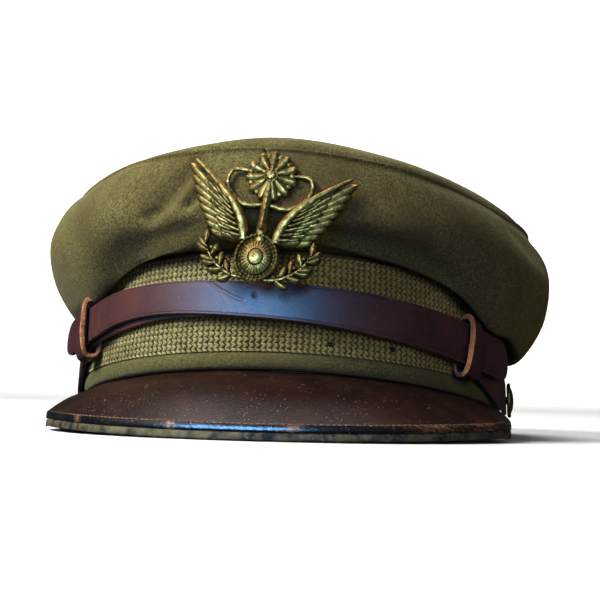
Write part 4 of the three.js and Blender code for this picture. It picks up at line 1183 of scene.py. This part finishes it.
# Feathers, eight a tier. For its first and last: x and y of its root, aim, length, width, ridge, bend.
# Then the height under the tier, how deep its barbs are, and how its lengths ease
WING_TIERS = [
    ((17.5, 20.5, 49, 22.5, 4.6, 1.9, -6), (8.5, 7.5, -2, 12.5, 4.2, 1.7, 10), 0, 0.1, 0.8),
    ((16, 22, 49, 15.5, 4, 2.5, -3), (7.8, 7, 2, 9, 4, 2.5, 8), 0.9, 0.09, 1),
    ((16.5, 23, 46, 9.5, 3.2, 3, 6), (7, 7.2, 6, 9.5, 3.2, 3, 6), 1.6, 0.08, 1),
    ((15.5, 22, 46, 6, 3.2, 3.4, 6), (7, 7.2, 6, 6, 3.2, 3.4, 6), 2.1, 0.08, 1),
]
WING_ARM = [
    (6.3, 6, 2.1, 3.2), (8.6, 14, 2.2, 4), (14.2, 22.2, 1.8, 3.8), (22.6, 30, 1.2, 3),
    (31.6, 37.4, 0.6, 1.9),
]
SPRIG_STEM = [
    (2, -9, 0.9, 1.9), (9.5, -8.2, 0.8, 1.8), (17, -3.5, 0.7, 1.7), (21.5, 3.5, 0.5, 1.4),
]
SPRIG_LEAVES = [
    (8.6, -8.4, -34), (10, -7.8, 62), (12.8, -6.6, -12), (14, -5.4, 84), (16.8, -3.4, 8),
    (18.2, -1.8, 104), (20.2, 1.6, 36), (21.2, 3.2, 82), (19.4, 0.2, 20), (15.6, -4.6, -2),
]
SPRIG_BERRIES = [(11.4, -5.6), (15.6, -2.4), (18.6, 1.8)]
BERRY = [(0, 0), (1, 0), (1, 0.9), (0.7, 1.7), (0, 2)]
SCROLL_LINE = [
    (1, 21.6, 1, 2), (8.6, 20.6, 1.2, 2.4), (14.2, 24, 1.2, 2.4), (17, 29.5, 1, 2.2),
    (15.4, 34.5, 0.9, 2), (9, 34.8, 0.6, 1.6),
]


def wing(mirror):
    parts = []
    for first, last, base, barbs, ease in WING_TIERS:
        first, last = np.array(first), np.array(last)
        for share in np.arange(8) / 7:
            feather = first + (last - first) * share
            feather[3] = first[3] + (last[3] - first[3]) * share**ease
            parts.append(blade(*feather, base, mirror, barbs))
    return parts + [rod(WING_ARM, mirror, 12, 0.05)]


def sprig(mirror):
    parts = [rod(SPRIG_STEM, mirror)]
    for x, y, aim in SPRIG_LEAVES:
        parts.append(blade(x, y, aim, 6.4, 3.3, 2, 8, 0, mirror, 0, LEAF))
    for x, y in SPRIG_BERRIES:
        parts.append(boss(x * mirror, y, 0.9, 0.9, BERRY, steps=16))
    return parts


BOSS_FACE = [
    (0, 0), (1, 0), (1, 1.4), (0.96, 2.2), (0.9, 2.6), (0.84, 2.2), (0.8, 1.7), (0.76, 2), (0.72, 1.7),
    (0.66, 2.6), (0.5, 3.3), (0.36, 3.6), (0.33, 3.2), (0.3, 3.7), (0.15, 4.2), (0, 4.3),
]
BEAD = [(0, 1.5), (1, 1.6), (1, 2.2), (0.7, 2.9), (0, 3.15)]
ROSETTE_DISC = [(0, 0), (1, 0), (1, 1), (0.92, 1.5), (0.5, 1.9), (0, 2)]
ROSETTE_BALL = [(0, 0), (1, 0), (1, 1), (0.75, 1.9), (0, 2.3)]
ROSETTE_EYE = [(0, 0), (1, 0), (1, 2.5), (0.85, 3.2), (0.7, 3), (0.5, 3.6), (0, 3.9)]
PIN_SEAT = [(0, -0.6), (1, -0.6), (1, 1), (0, 1)]
BEADS = 32
PETALS = 11


def places_round(count, first, y, rx, ry):
    """Aim, x and y of each of count things set round a middle at height y."""
    for aim in first + np.arange(count) * 360 / count:
        yield aim, rx * math.cos(math.radians(aim)), y + ry * math.sin(math.radians(aim))


def make_badge():
    parts = []
    for mirror in (1, -1):
        parts += wing(mirror) + sprig(mirror) + [rod(SCROLL_LINE, mirror, 10, 0.12)]
    parts.append(boss(0, BOSS_Y, 9, 10.2, BOSS_FACE, 28, 0.22, 168))
    for _, x, y in places_round(BEADS, 0, BOSS_Y, 8.1, 9.2):
        parts.append(boss(x, y, 0.62, 0.62, BEAD, steps=10))
    parts.append(boss(0, ROSETTE_Y, 8.8, 8.8, ROSETTE_DISC, PETALS, 0.25, 132))
    for aim, x, y in places_round(PETALS, 90, ROSETTE_Y, 2.4, 2.4):
        parts.append(blade(x, y, aim, 8.3, 4.9, 2.7, 0, 0.8, 1, 0.1))
    for _, x, y in places_round(PETALS, 90 + 180 / PETALS, ROSETTE_Y, 8.3, 8.3):
        parts.append(boss(x, y, 1.3, 1.3, ROSETTE_BALL, steps=16))
    parts.append(boss(0, ROSETTE_Y, 3.1, 3.1, ROSETTE_EYE, 8, 0.15, 64))
    for i in range(7):
        parts.append(blade(0, 26.5 - i * 2.6, 90, 5.2, 5.6 - 0.25 * i, 3.0 + 0.12 * i, 0, 1.2, 1, 0.08))
    parts.append(rod([(0, 6, 2.6, 2.6), (0, 14, 2.2, 2.4), (0, 26, 2.4, 2.2)]))
    parts.append(boss(0, 22, 1.5, 1.5, PIN_SEAT, steps=16))
    dress(gathered(parts), "badge_casting", BRASS, ["badge"])


make_band()
make_braid()
make_quarter("front_right", -SIDE_SEAM, 0)
make_quarter("front_left", 0, SIDE_SEAM)
make_quarter("rear_left", SIDE_SEAM, 180)
make_quarter("rear_right", 180, 360 - SIDE_SEAM)
make_top()
make_peak()
make_straps()
make_keeper("right", -1)
make_keeper("left", 1)
make_button("right")
make_button("left")
make_badge()
